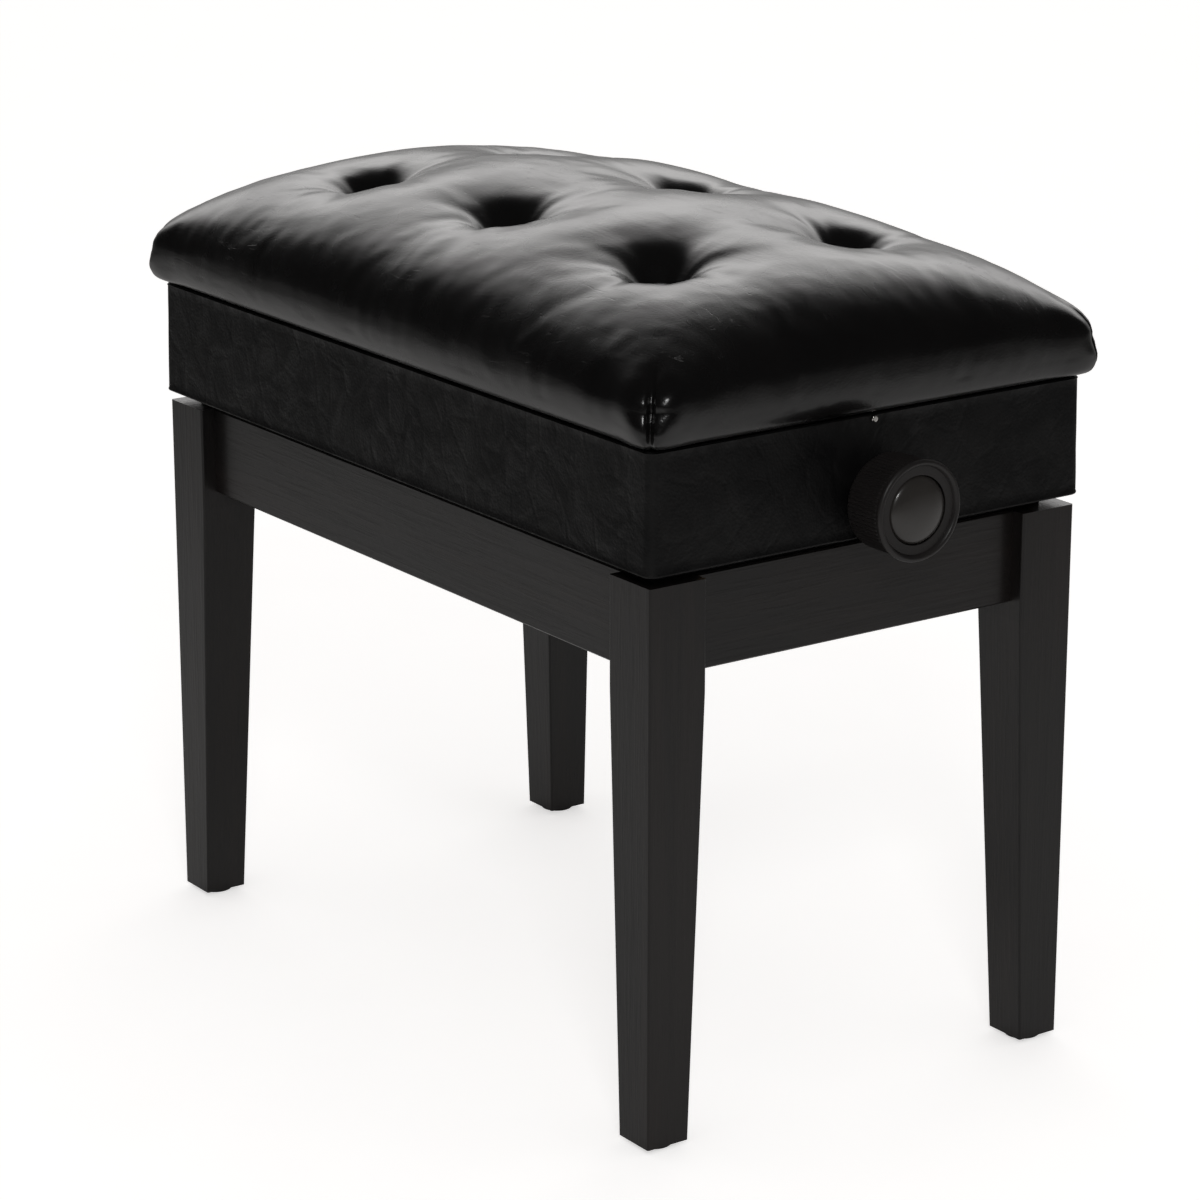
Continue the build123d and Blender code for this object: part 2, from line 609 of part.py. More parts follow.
def knob():
    """Moulded hand knob: hub, fluted body and a front rim round a groove and a cap seat."""
    rim_in = KNOB_RADIUS - KNOB_RIM_WALL
    rim_start = KNOB_LENGTH - KNOB_RIM_LENGTH
    groove = KNOB_LENGTH - KNOB_GROOVE_DEPTH
    seat = KNOB_LENGTH - CAP_SEAT_DEPTH
    body = turned(
        [
            (0, 0),
            (KNOB_HUB_RADIUS, 0),
            (KNOB_HUB_RADIUS, KNOB_HUB_LENGTH),
            (KNOB_BODY_RADIUS - KNOB_EDGE, KNOB_HUB_LENGTH),
            (KNOB_BODY_RADIUS, KNOB_HUB_LENGTH + KNOB_EDGE),
            (KNOB_BODY_RADIUS, rim_start),
            (KNOB_RADIUS, rim_start + KNOB_EDGE),
            (KNOB_RADIUS, KNOB_LENGTH - KNOB_EDGE),
            (KNOB_RADIUS - KNOB_EDGE, KNOB_LENGTH),
            (rim_in + KNOB_EDGE, KNOB_LENGTH),
            (rim_in, KNOB_LENGTH - KNOB_EDGE),
            (rim_in, groove),
            (CAP_RADIUS, groove),
            (CAP_RADIUS, seat),
            (0, seat),
        ]
    )
    flute_start = KNOB_HUB_LENGTH - BEYOND
    flute_at = KNOB_BODY_RADIUS + KNOB_FLUTE_RADIUS - KNOB_FLUTE_DEPTH
    for turn in range(KNOB_FLUTES):
        place = knob_plane() * Rot(0, 0, 360 * (turn + 0.5) / KNOB_FLUTES)
        length = rim_start - flute_start - BEYOND
        flute = Cylinder(KNOB_FLUTE_RADIUS, length, align=(Align.CENTER, Align.CENTER, Align.MIN))
        body = body - place * Pos(flute_at, 0, flute_start) * flute
    start = (KNOB_X - BEYOND, 0, LOWER_PIVOT_Z)
    bore = bar(start, (1, 0, 0), SPINDLE_IN_KNOB + BEYOND, SPINDLE_RADIUS)
    axis_point = (KNOB_X + KNOB_HUB_LENGTH / 2, 0, LOWER_PIVOT_Z)
    tapped_hole = bar(axis_point, (0, 0, 1), KNOB_HUB_RADIUS + BEYOND, SET_SCREW_RADIUS)
    return cut_by(body, [bore, tapped_hole])


def knob_cap():
    """Snap-in cap in the middle of the knob's front, slightly domed."""
    seat = KNOB_LENGTH - CAP_SEAT_DEPTH
    front = KNOB_LENGTH + CAP_PROUD
    return turned(
        [
            (0, seat),
            (CAP_RADIUS, seat),
            (CAP_RADIUS, front - CAP_EDGE),
            (CAP_RADIUS - CAP_EDGE / 2, front - CAP_EDGE / 3),
            (CAP_RADIUS - 2 * CAP_EDGE, front),
            (0, front),
        ]
    )


# ---- Upper frame of the lift ----
def lift_rail():
    """Folded angle under the seat board, its web slotted for the roller. Drawn at +Y."""
    half = LIFT_RAIL_LENGTH / 2
    flange_z = (BOX_TOP - SHEET, BOX_TOP)
    flange = block((-half, half), (LIFT_WEB_Y, LIFT_FLANGE_Y), flange_z)
    bottom = UPPER_PIVOT_Z - LIFT_RAIL_BELOW_PIVOT
    web = block((-half, half), (LIFT_WEB_Y, LIFT_WEB_Y + SHEET), (bottom, BOX_TOP))
    slot_radius = ROLLER_RADIUS + ROLLER_PLAY
    span = SLIDE_TRAVEL + 2 * ROLLER_PLAY
    slot_middle = -PIVOT_X + SLIDE_TRAVEL / 2
    centre = (slot_middle, LIFT_WEB_Y, UPPER_PIVOT_Z)
    face = Plane(origin=centre, x_dir=(1, 0, 0), z_dir=(0, 1, 0))
    slot = extrude(face * SlotCenterToCenter(span, 2 * slot_radius), SHEET, both=True)
    return cut_by(flange + web, [slot, top_shaft()] + lift_screws_on_rail())


def lift_cross():
    """Flat strap that ties the two lift rails, drawn at +X."""
    x_out = LIFT_RAIL_LENGTH / 2 - LIFT_CROSS_END
    return block(
        (x_out - LIFT_CROSS_WIDTH, x_out), (-LIFT_WEB_Y, LIFT_WEB_Y), (BOX_TOP - SHEET, BOX_TOP)
    )


def top_shaft():
    """Shaft across the lift that the inner arms' upper ends turn on."""
    half = LIFT_WEB_Y + SHEET + TOP_SHAFT_END
    return bar((PIVOT_X, -half, UPPER_PIVOT_Z), (0, 1, 0), 2 * half, TOP_SHAFT_RADIUS)


def lift_screws_on_rail():
    """Screws up through one lift rail into the seat board, drawn at +Y."""
    y = (LIFT_WEB_Y + SHEET + LIFT_FLANGE_Y) / 2
    length = SHEET + SCREW_IN_BOARD
    inset = LIFT_RAIL_LENGTH / 2 - LIFT_SCREW_END
    places = (-inset, -inset / 3, inset / 3, inset)
    return [screw((x, y, BOX_TOP - SHEET), (0, 0, 1), length) for x in places]


# ---- Leather-wrapped box ----
def notch(radius):
    """Open-bottomed slot through an end of the box, round at the spindle."""
    x = (PANEL_IN_X - 2 * SKIN_THICK, PANEL_OUT_X + 2 * SKIN_THICK)
    top = bar((x[0], 0, LOWER_PIVOT_Z), (1, 0, 0), x[1] - x[0], radius)
    return top + block(x, (-radius, radius), (BOX_BOTTOM - BEYOND, LOWER_PIVOT_Z))


def box_panel_back():
    """Long plywood panel with the box's two rounded corners, drawn at +Y."""
    z = (BOX_BOTTOM + SKIN_THICK, BOX_TOP)
    whole = rounded_block(2 * PANEL_OUT_X, 2 * PANEL_OUT_Y, BOX_CORNER - SKIN_THICK, z)
    side = block((-PANEL_OUT_X, PANEL_OUT_X), (PANEL_IN_Y, PANEL_OUT_Y), z)
    screws = corner_block_screws()
    return cut_by(whole & side, screws + [flip_x(item) for item in screws])


def box_panel_right():
    """Short plywood panel between the long ones, slotted for the spindle. Drawn at +X."""
    z = (BOX_BOTTOM + SKIN_THICK, BOX_TOP)
    body = block((PANEL_IN_X, PANEL_OUT_X), (-PANEL_IN_Y, PANEL_IN_Y), z)
    screws = corner_block_screws()
    holes = [notch(NOTCH_RADIUS + SKIN_THICK), box_nail()]
    return cut_by(body, holes + screws + [flip_y(item) for item in screws])


def box_leather():
    """One leather sheet round the box, turned under the panels and up inside them."""
    outside = rounded_block(BOX_LENGTH, BOX_WIDTH, BOX_CORNER, (BOX_BOTTOM, BOX_TOP))
    core_z = (BOX_BOTTOM + SKIN_THICK, BOX_TOP)
    core = rounded_block(2 * PANEL_OUT_X, 2 * PANEL_OUT_Y, BOX_CORNER - SKIN_THICK, core_z)
    wall = outside - core
    inner_x = PANEL_IN_X - SKIN_THICK
    inner_y = PANEL_IN_Y - SKIN_THICK
    well = block((-inner_x, inner_x), (-inner_y, inner_y), (BOX_BOTTOM - BEYOND, BOX_TOP))
    hem_z = (BOX_BOTTOM, BOX_BOTTOM + HEM_HEIGHT)
    hem = block((-PANEL_IN_X, PANEL_IN_X), (-PANEL_IN_Y, PANEL_IN_Y), hem_z)
    skin = wall - well + (hem - well)
    lining = notch(NOTCH_RADIUS + SKIN_THICK) & block(
        (inner_x, BOX_LENGTH / 2), (-BOX_WIDTH, BOX_WIDTH), (BOX_BOTTOM, BOX_TOP)
    )
    for turn in (lambda shape: shape, flip_x):
        skin = skin + turn(lining) - turn(notch(NOTCH_RADIUS)) - turn(box_nail())
    return skin


def corner_block():
    """Wooden glue block in a corner of the box, drawn at +X, +Y."""
    x = (PANEL_IN_X - CORNER_BLOCK, PANEL_IN_X)
    y = (PANEL_IN_Y - CORNER_BLOCK, PANEL_IN_Y)
    body = block(x, y, (BOX_TOP - CORNER_BLOCK_DROP, BOX_TOP))
    return cut_by(body, corner_block_screws())


def corner_block_screws():
    """Screws of one corner block: into the end panel, the long panel and the seat board."""
    middle_x = PANEL_IN_X - CORNER_BLOCK / 2
    middle_y = PANEL_IN_Y - CORNER_BLOCK / 2
    face_x = PANEL_IN_X - CORNER_BLOCK
    face_y = PANEL_IN_Y - CORNER_BLOCK
    length = CORNER_BLOCK + SCREW_IN_BOARD
    low = BOX_TOP - BLOCK_SCREW_LOW
    high = BOX_TOP - BLOCK_SCREW_HIGH
    bottom = BOX_TOP - CORNER_BLOCK_DROP
    up = CORNER_BLOCK_DROP + SCREW_IN_BOARD
    aside = CORNER_BLOCK / 4
    return [
        screw((face_x, middle_y, low), (1, 0, 0), length),
        screw((middle_x, face_y, high), (0, 1, 0), length),
        screw((middle_x - aside, middle_y - aside, bottom), (0, 0, 1), up),
    ]


def box_nail():
    """Domed nickel nail at the middle of the end's top edge, drawn at +X."""
    z = BOX_TOP - NAIL_BELOW_TOP
    face = BOX_LENGTH / 2
    head = bar((face, 0, z), (1, 0, 0), NAIL_HEAD_THICK, NAIL_HEAD_RADIUS)
    head = fillet(head.edges().group_by(Axis.X)[-1], NAIL_HEAD_ROUND)
    return head + bar((face, 0, z), (-1, 0, 0), NAIL_LENGTH, NAIL_SHANK_RADIUS)


# ---- Seat: board, foam, cover, buttons and their ties ----
def tuft_places():
    """Centres of the buttoned tufts."""
    first_x = -TUFT_PITCH_X * (TUFT_COLUMNS - 1) / 2
    first_y = -TUFT_PITCH_Y * (TUFT_ROWS - 1) / 2
    return [
        (first_x + column * TUFT_PITCH_X, first_y + row * TUFT_PITCH_Y)
        for column in range(TUFT_COLUMNS)
        for row in range(TUFT_ROWS)
    ]


def funnel(x, y, grow):
    """Pit that a button pulls into the cushion, grown by the cover's thickness if asked."""
    floor = TUFT_FLOOR - grow
    height = CUSHION_TOP - floor + BEYOND
    cone = Cone(
        TUFT_FLOOR_RADIUS + grow,
        TUFT_MOUTH_RADIUS + grow,
        height,
        align=(Align.CENTER, Align.CENTER, Align.MIN),
    )
    return Pos(x, y, floor) * cone


def cushion_form(inset):
    """Rounded outer form of the cushion, drawn smaller by inset on every side."""
    length = BOX_LENGTH + 2 * CUSHION_PROUD_X - 2 * inset
    width = BOX_WIDTH + 2 * CUSHION_PROUD_Y - 2 * inset
    z = (CUSHION_BOTTOM + inset, CUSHION_TOP - inset)
    body = rounded_block(length, width, CUSHION_CORNER - inset, z)
    body = fillet(body.edges().group_by(Axis.Z)[-1], CUSHION_TOP_ROUND - inset)
    return fillet(body.edges().group_by(Axis.Z)[0], CUSHION_BOTTOM_ROUND - inset)


def board_blank():
    """The seat board before its holes."""
    inset = 2 * BOARD_INSET
    return rounded_block(BOX_LENGTH - inset, BOX_WIDTH - inset, BOX_CORNER, (BOX_TOP, BOARD_TOP))


def seat_board():
    """Plywood board under the cushion, on the box and the lift rails."""
    rails = lift_screws_on_rail()
    corners = [part for item in corner_block_screws() for part in four_corners(item)]
    screws = rails + [flip_y(item) for item in rails] + corners
    return cut_by(board_blank(), screws + [button_tie(x, y) for x, y in tuft_places()])


def seat_foam():
    """Foam block over the board, with a pit at each tuft."""
    pits = [funnel(x, y, COVER_THICK) for x, y in tuft_places()]
    ties = [button_tie(x, y) for x, y in tuft_places()]
    return cut_by(cushion_form(COVER_THICK), [board_blank()] + pits + ties)


def seat_cover():
    """Leather cover over the foam, down its sides and under to the board."""
    pits = [funnel(x, y, 0) for x, y in tuft_places()]
    whole = cut_by(cushion_form(0), [board_blank()] + pits)
    core = cut_by(cushion_form(COVER_THICK), [funnel(x, y, COVER_THICK) for x, y in tuft_places()])
    ties = [button_tie(x, y) for x, y in tuft_places()]
    return cut_by(whole - core, ties)


def tuft_button(x, y):
    """Leather-covered button at the floor of a tuft."""
    disc = bar((x, y, TUFT_FLOOR), (0, 0, 1), BUTTON_THICK, BUTTON_RADIUS)
    return fillet(disc.edges().group_by(Axis.Z)[-1], BUTTON_ROUND)


def button_tie(x, y):
    """Twine from a button down to a washer under the board."""
    washer = bar((x, y, BOX_TOP), (0, 0, -1), TIE_WASHER_THICK, TIE_WASHER_RADIUS)
    return washer + bar((x, y, BOX_TOP), (0, 0, 1), TUFT_FLOOR - BOX_TOP, TIE_RADIUS)


# ---- Write the pieces ----
def save_leg_frame():
    """Pieces that stand on the floor and never move."""
    corner = leg()
    save("leg_back_right", corner)
    save("leg_back_left", flip_x(corner))
    save("leg_front_right", flip_y(corner))
    save("leg_front_left", flip_x(flip_y(corner)))
    save("rail_back", rail_back())
    save("rail_front", flip_y(rail_back()))
    save("rail_right", rail_right())
    save("rail_left", flip_x(rail_right()))
    save("foot_glides", four_corners(glide()))
    save("corner_brackets", four_corners(corner_bracket()))
    save("bracket_screws", [part for item in bracket_screws() for part in four_corners(item)])
    save("hanger_bolts", four_corners(hanger_bolt()))
    save("bolt_washers", four_corners(bolt_washer()))
    save("wing_nuts", four_corners(wing_nut()))


def save_lift_base():
    """Pieces of the lift that are fixed to the leg frame."""
    save("base_rail_back", base_rail())
    save("base_rail_front", flip_y(base_rail()))
    save("base_end_right", base_end())
    save("base_end_left", flip_x(base_end()))
    save("base_screws", [part for item in base_flange_screws() for part in four_corners(item)])
    save("spindle_bushes", [spindle_bush(), flip_x(spindle_bush())])
    save("lower_pivot_pins", front_and_back(lower_pivot_pin()))


def save_lift_moving():
    """Arms, crosshead, spindle and knobs."""
    save("outer_arm_back", outer_arm())
    save("outer_arm_front", flip_y(outer_arm()))
    save("mid_pivot_pins", front_and_back(mid_pivot_pin()))
    save("slide_pins", front_and_back(slide_pin()))
    save("slide_rollers", front_and_back(slide_roller()))
    save("inner_arm_back", inner_arm())
    save("inner_arm_front", flip_y(inner_arm()))
    save("crosshead_nut", crosshead_nut())
    save("cross_shafts", front_and_back(cross_shaft()))
    clips = shaft_clips(-PIVOT_X, LOWER_PIVOT_Z, CROSS_SHAFT_RADIUS)
    save("cross_shaft_clips", clips + [flip_y(item) for item in clips])
    save("spindle", spindle())
    save("thrust_collars", [thrust_collar(), flip_x(thrust_collar())])
    save("knob_right", knob())
    save("knob_left", flip_x(knob()))
    save("knob_cap_right", knob_cap())
    save("knob_cap_left", flip_x(knob_cap()))
    save("knob_set_screws", [knob_set_screw(), flip_x(knob_set_screw())])


def save_seat_frame():
    """Upper frame of the lift and the leather-wrapped box."""
    save("lift_rail_back", lift_rail())
    save("lift_rail_front", flip_y(lift_rail()))
    save("lift_cross_straps", [lift_cross(), flip_x(lift_cross())])
    save("top_pivot_shaft", top_shaft())
    clips = shaft_clips(PIVOT_X, UPPER_PIVOT_Z, TOP_SHAFT_RADIUS)
    save("top_shaft_clips", clips + [flip_y(item) for item in clips])
    save("lift_screws", [part for item in lift_screws_on_rail() for part in front_and_back(item)])
    save("box_panel_back", box_panel_back())
    save("box_panel_front", flip_y(box_panel_back()))
    save("box_panel_right", box_panel_right())
    save("box_panel_left", flip_x(box_panel_right()))
    save("box_leather", box_leather())
    save("box_nails", [box_nail(), flip_x(box_nail())])
    save("corner_blocks", four_corners(corner_block()))
    save("block_screws", [part for item in corner_block_screws() for part in four_corners(item)])


def save_seat():
    """Board, foam, cover and buttons."""
    save("seat_board", seat_board())
    save("seat_foam", seat_foam())
    save("seat_cover", seat_cover())
    save("tuft_buttons", [tuft_button(x, y) for x, y in tuft_places()])
    save("button_ties", [button_tie(x, y) for x, y in tuft_places()])


os.makedirs("parts", exist_ok=True)
save_leg_frame()
save_lift_base()
save_lift_moving()
save_seat_frame()
save_seat()
turns = SLIDE_TRAVEL / THREAD_PITCH
print(f"pivot x {PIVOT_X:.3f}, pivot z {LOWER_PIVOT_Z} and {UPPER_PIVOT_Z}")
print(f"stroke {LIFT_STROKE:.2f}, slide travel {SLIDE_TRAVEL:.2f}, spindle turns {turns:.2f}")
print(f"spindle degrees for each arm degree {360 * turns / LIFT_ANGLE:.2f}")
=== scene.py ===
import math

import bmesh
import bpy
from mathutils import Matrix, Vector, noise


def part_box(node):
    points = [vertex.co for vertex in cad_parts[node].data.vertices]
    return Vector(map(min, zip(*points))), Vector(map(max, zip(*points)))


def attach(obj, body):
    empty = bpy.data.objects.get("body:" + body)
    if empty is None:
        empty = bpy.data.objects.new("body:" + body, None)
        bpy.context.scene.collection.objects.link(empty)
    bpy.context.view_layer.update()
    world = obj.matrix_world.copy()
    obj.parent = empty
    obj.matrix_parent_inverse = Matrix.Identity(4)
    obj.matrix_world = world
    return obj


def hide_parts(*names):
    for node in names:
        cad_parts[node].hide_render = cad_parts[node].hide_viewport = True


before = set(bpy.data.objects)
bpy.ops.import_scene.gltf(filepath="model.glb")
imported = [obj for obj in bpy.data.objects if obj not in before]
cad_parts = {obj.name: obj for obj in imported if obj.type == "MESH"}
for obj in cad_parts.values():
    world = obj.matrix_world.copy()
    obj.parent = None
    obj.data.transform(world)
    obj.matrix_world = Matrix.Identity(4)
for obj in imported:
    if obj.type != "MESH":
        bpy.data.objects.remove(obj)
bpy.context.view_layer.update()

# ---- Room ----
# A pale floor in even soft light. Gloss shows a bright wall behind the bench, which
# fades at the sides, near the floor and overhead. A small lamp stands high at the right.


class Amount:
    """A shader value that takes part in ordinary sums."""

    def __init__(self, recipe, socket):
        self.recipe = recipe
        self.socket = socket

    def sum(self, operation, first, second):
        made = self.recipe.node("ShaderNodeMath", {"operation": operation}, {0: first, 1: second})
        return Amount(self.recipe, made.outputs[0])

    def __add__(self, other):
        return self.sum("ADD", self, other)

    def __radd__(self, other):
        return self.sum("ADD", other, self)

    def __sub__(self, other):
        return self.sum("SUBTRACT", self, other)

    def __rsub__(self, other):
        return self.sum("SUBTRACT", other, self)

    def __mul__(self, other):
        return self.sum("MULTIPLY", self, other)

    def __rmul__(self, other):
        return self.sum("MULTIPLY", other, self)

    def __pow__(self, other):
        return self.sum("POWER", self, other)


class Recipe:
    """A node tree that is written one node at a time."""

    def __init__(self, tree):
        self.tree = tree

    def node(self, kind, settings=None, sockets=None):
        made = self.tree.nodes.new(kind)
        for name, value in (settings or {}).items():
            if name == "stops":
                for stop, (place, colour) in zip(made.color_ramp.elements, value):
                    stop.position = place
                    stop.color = (*colour, 1.0)
            else:
                setattr(made, name, value)
        for key, value in (sockets or {}).items():
            self.feed(made.inputs[key], value)
        return made

    def feed(self, socket, value):
        if isinstance(value, Amount):
            value = value.socket
        if isinstance(value, bpy.types.NodeSocket):
            self.tree.links.new(value, socket)
        else:
            socket.default_value = value

    def amount(self, socket):
        return Amount(self, socket)

    def ramp(self, value, low, high, start=0.0, end=1.0):
        """Smooth step of a value from low to high."""
        settings = {"interpolation_type": "SMOOTHSTEP"}
        sockets = {"Value": value, "From Min": low, "From Max": high, "To Min": start, "To Max": end}
        return self.amount(self.node("ShaderNodeMapRange", settings, sockets).outputs[0])

    def tint(self, factor, first, second, blend="MIX"):
        """Mix of two colours."""
        settings = {"data_type": "RGBA", "blend_type": blend}
        first = (*first, 1.0) if isinstance(first, tuple) else first
        second = (*second, 1.0) if isinstance(second, tuple) else second
        made = self.node("ShaderNodeMix", settings, {0: factor, 6: first, 7: second})
        return made.outputs[2]


room = bpy.data.worlds.new("room")
room.use_nodes = True
room.node_tree.nodes.clear()
sky = Recipe(room.node_tree)
towards = sky.node("ShaderNodeTexCoord").outputs["Generated"]
height = sky.amount(sky.node("ShaderNodeSeparateXYZ", None, {0: towards}).outputs[2])
BEHIND = (-0.78, 0.63, 0.0)
facing = sky.node("ShaderNodeVectorMath", {"operation": "DOT_PRODUCT"}, {0: towards, 1: BEHIND})
facing = sky.amount(facing.outputs["Value"])
ray = sky.node("ShaderNodeLightPath").outputs
spread = sky.amount(ray["Is Diffuse Ray"])
seen = sky.amount(ray["Is Camera Ray"])
WALL_LIGHT = 1.9
DARK_SIDE_LIGHT = 0.02
SOFT_LIGHT = 0.43
SEEN_LIGHT = 0.95
level_share = (1.0 - height * height + 0.001) ** -0.5
around = sky.ramp(facing * level_share, 0.60, 0.985)
wall = around * sky.ramp(height, 0.06, 0.35, 0.15, 1.0) * sky.ramp(height, 0.84, 0.42) * WALL_LIGHT
gloss = (1.0 - spread) * (wall + DARK_SIDE_LIGHT)
strength = (gloss + spread * SOFT_LIGHT) * (1.0 - seen) + seen * SEEN_LIGHT
backdrop = sky.node("ShaderNodeBackground", None, {"Strength": strength})
backdrop.inputs["Color"].default_value = (1.0, 0.985, 0.975, 1.0)
world_out = sky.node("ShaderNodeOutputWorld", None, {"Surface": backdrop.outputs[0]})
bpy.context.scene.world = room

FLOOR_RADIUS = 9.0


class Finish(Recipe):
    """A material on one principled surface, patterned in the piece's own metres."""

    def __init__(self, name, roughness=0.5, metallic=0.0, specular=0.5, coat=0.0, coat_roughness=0.1):
        self.material = bpy.data.materials.new(name)
        self.material.use_nodes = True
        super().__init__(self.material.node_tree)
        self.surface = self.tree.nodes["Principled BSDF"]
        self.place = self.node("ShaderNodeTexCoord").outputs["Object"]
        self.surface.inputs["Roughness"].default_value = roughness
        self.surface.inputs["Metallic"].default_value = metallic
        self.surface.inputs["Specular IOR Level"].default_value = specular
        self.surface.inputs["Coat Weight"].default_value = coat
        self.surface.inputs["Coat Roughness"].default_value = coat_roughness

    def stretched(self, stretch, turn=(0.0, 0.0, 0.0)):
        """Object coordinates, drawn out or turned for a pattern with a direction."""
        sockets = {"Vector": self.place, "Scale": stretch, "Rotation": turn}
        return self.node("ShaderNodeMapping", None, sockets).outputs[0]

    def cloud(self, scale, detail=3.0, stretch=None, turn=(0.0, 0.0, 0.0), roughness=0.5, warp=0.0):
        """Noise between 0 and 1."""
        place = self.stretched(stretch, turn) if stretch else self.place
        sockets = {"Vector": place, "Scale": scale, "Detail": detail, "Roughness": roughness}
        sockets["Distortion"] = warp
        return self.amount(self.node("ShaderNodeTexNoise", None, sockets).outputs[0])

    def cells(self, scale, feature="F1", stretch=None, turn=(0.0, 0.0, 0.0), random=1.0):
        """Distance in a pattern of irregular cells."""
        place = self.stretched(stretch, turn) if stretch else self.place
        sockets = {"Vector": place, "Scale": scale, "Randomness": random}
        made = self.node("ShaderNodeTexVoronoi", {"feature": feature}, sockets)
        return self.amount(made.outputs["Distance"])

    def set(self, name, value):
        if isinstance(value, tuple):
            value = (*value, 1.0)
        self.feed(self.surface.inputs[name], value)

    def relief(self, height, distance, strength=1.0):
        """Fine surface relief, its height in metres times a pattern."""
        sockets = {"Height": height, "Distance": distance, "Strength": strength}
        self.set("Normal", self.node("ShaderNodeBump", None, sockets).outputs[0])


def as_piece(name, points, faces, material, smooth_below=40.0):
    """A mesh object with outward faces, shaded smooth except across sharp edges."""
    mesh = bpy.data.meshes.new(name)
    mesh.from_pydata([tuple(point) for point in points], [], faces)
    shape = bmesh.new()
    shape.from_mesh(mesh)
    bmesh.ops.remove_doubles(shape, verts=shape.verts, dist=1e-6)
    bmesh.ops.dissolve_degenerate(shape, edges=shape.edges, dist=1e-6)
    bmesh.ops.recalc_face_normals(shape, faces=shape.faces)
    shape.to_mesh(mesh)
    shape.free()
    mesh.shade_smooth()
    mesh.set_sharp_from_angle(angle=math.radians(smooth_below))
    mesh.materials.append(material)
    piece = bpy.data.objects.new(name, mesh)
    bpy.context.scene.collection.objects.link(piece)
    return piece


pale = Finish("floor_paint", roughness=0.85, specular=0.2)
speckle = pale.cloud(14.0, 5.0)
lit = pale.amount(pale.node("ShaderNodeLightPath").outputs["Is Camera Ray"])
away = pale.node("ShaderNodeVectorMath", {"operation": "LENGTH"}, {0: pale.place}).outputs["Value"]
dim = pale.ramp(away, 0.8, 2.6) * (1.0 - lit)
paint = pale.tint(speckle, (0.80, 0.795, 0.79), (0.84, 0.838, 0.835))
pale.set("Base Color", pale.tint(dim, paint, (0.24, 0.238, 0.235)))
pale.set("Roughness", speckle * 0.1 + 0.8)
pale.surface.inputs["Emission Color"].default_value = (1.0, 0.99, 0.985, 1.0)
pale.set("Emission Strength", lit * 0.60)
steps = 96
ring = [
    (FLOOR_RADIUS * math.cos(math.tau * step / steps), FLOOR_RADIUS * math.sin(math.tau * step / steps), 0.0)
    for step in range(steps)
]
floor = as_piece("studio_floor", ring, [tuple(range(steps))], pale.material)

LAMP_SIDE = 0.55
lamp_data = bpy.data.lights.new("lamp", "AREA")
lamp_data.shape = "RECTANGLE"
lamp_data.size = LAMP_SIDE
lamp_data.size_y = LAMP_SIDE
lamp_data.energy = 16.0
lamp = bpy.data.objects.new("lamp", lamp_data)
lamp.location = (2.35, -1.45, 1.95)
lamp.rotation_euler = (Vector((0.0, 0.0, 0.3)) - lamp.location).to_track_quat("-Z", "Y").to_euler()
lamp.visible_camera = False
bpy.context.scene.collection.objects.link(lamp)

AIM = Vector((0.0, 0.0, 0.235))
AZIMUTH = math.radians(54.8)
ELEVATION = math.radians(16.8)
DISTANCE = 2.46
camera_data = bpy.data.cameras.new("camera")
camera_data.lens = 120.0
camera_data.sensor_width = 36.0
camera = bpy.data.objects.new("camera", camera_data)
outward = Vector(
    (
        math.sin(AZIMUTH) * math.cos(ELEVATION),
        -math.cos(AZIMUTH) * math.cos(ELEVATION),
        math.sin(ELEVATION),
    )
)
camera.location = AIM + DISTANCE * outward
camera.rotation_euler = outward.to_track_quat("Z", "Y").to_euler()
bpy.context.scene.collection.objects.link(camera)
bpy.context.scene.camera = camera
bpy.context.scene.view_settings.view_transform = "Standard"

# ---- Legs and rails ----
# Solid wood under black satin lacquer. The lacquer lets a trace of the grain and a
# warm brown through.


def dress(material, *names):
    """Puts a material on CAD nodes whose shape is already right."""
    for name in names:
        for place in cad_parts[name].material_slots:
            place.material = material


def lacquer(name, stretch):
    """Black satin lacquer whose grain runs along the axis with the small stretch."""
    coat = Finish(name, roughness=0.3, specular=0.42, coat=0.10, coat_roughness=0.16)
    pores = coat.cloud(420.0, 4.0, stretch, roughness=0.6)
    grain = coat.cloud(60.0, 5.0, stretch, roughness=0.6, warp=0.4)
    peel = coat.cloud(210.0, 2.0)
    cloud = coat.cloud(9.0, 3.0)
    dark = coat.tint(coat.ramp(grain, 0.35, 0.75), (0.0070, 0.0062, 0.0060), (0.0130, 0.0100, 0.0092))
    coat.set("Base Color", coat.tint(coat.ramp(cloud, 0.4, 0.8) * 0.4, dark, (0.013, 0.0095, 0.0085)))
    coat.set("Roughness", 0.27 + cloud * 0.08 + coat.ramp(pores, 0.45, 0.7) * 0.06)
    coat.relief(coat.ramp(pores, 0.4, 0.7) * 0.5 + grain * 0.7 + peel * 0.55, 0.00012, 0.8)
    return coat.material


upright_lacquer = lacquer("black_lacquer_upright", (1.0, 1.0, 0.05))
long_lacquer = lacquer("black_lacquer_long", (0.05, 1.0, 1.0))
short_lacquer = lacquer("black_lacquer_short", (1.0, 0.05, 1.0))
dress(upright_lacquer, "leg_front_left", "leg_front_right", "leg_back_left", "leg_back_right")
dress(long_lacquer, "rail_front", "rail_back")
dress(short_lacquer, "rail_left", "rail_right")

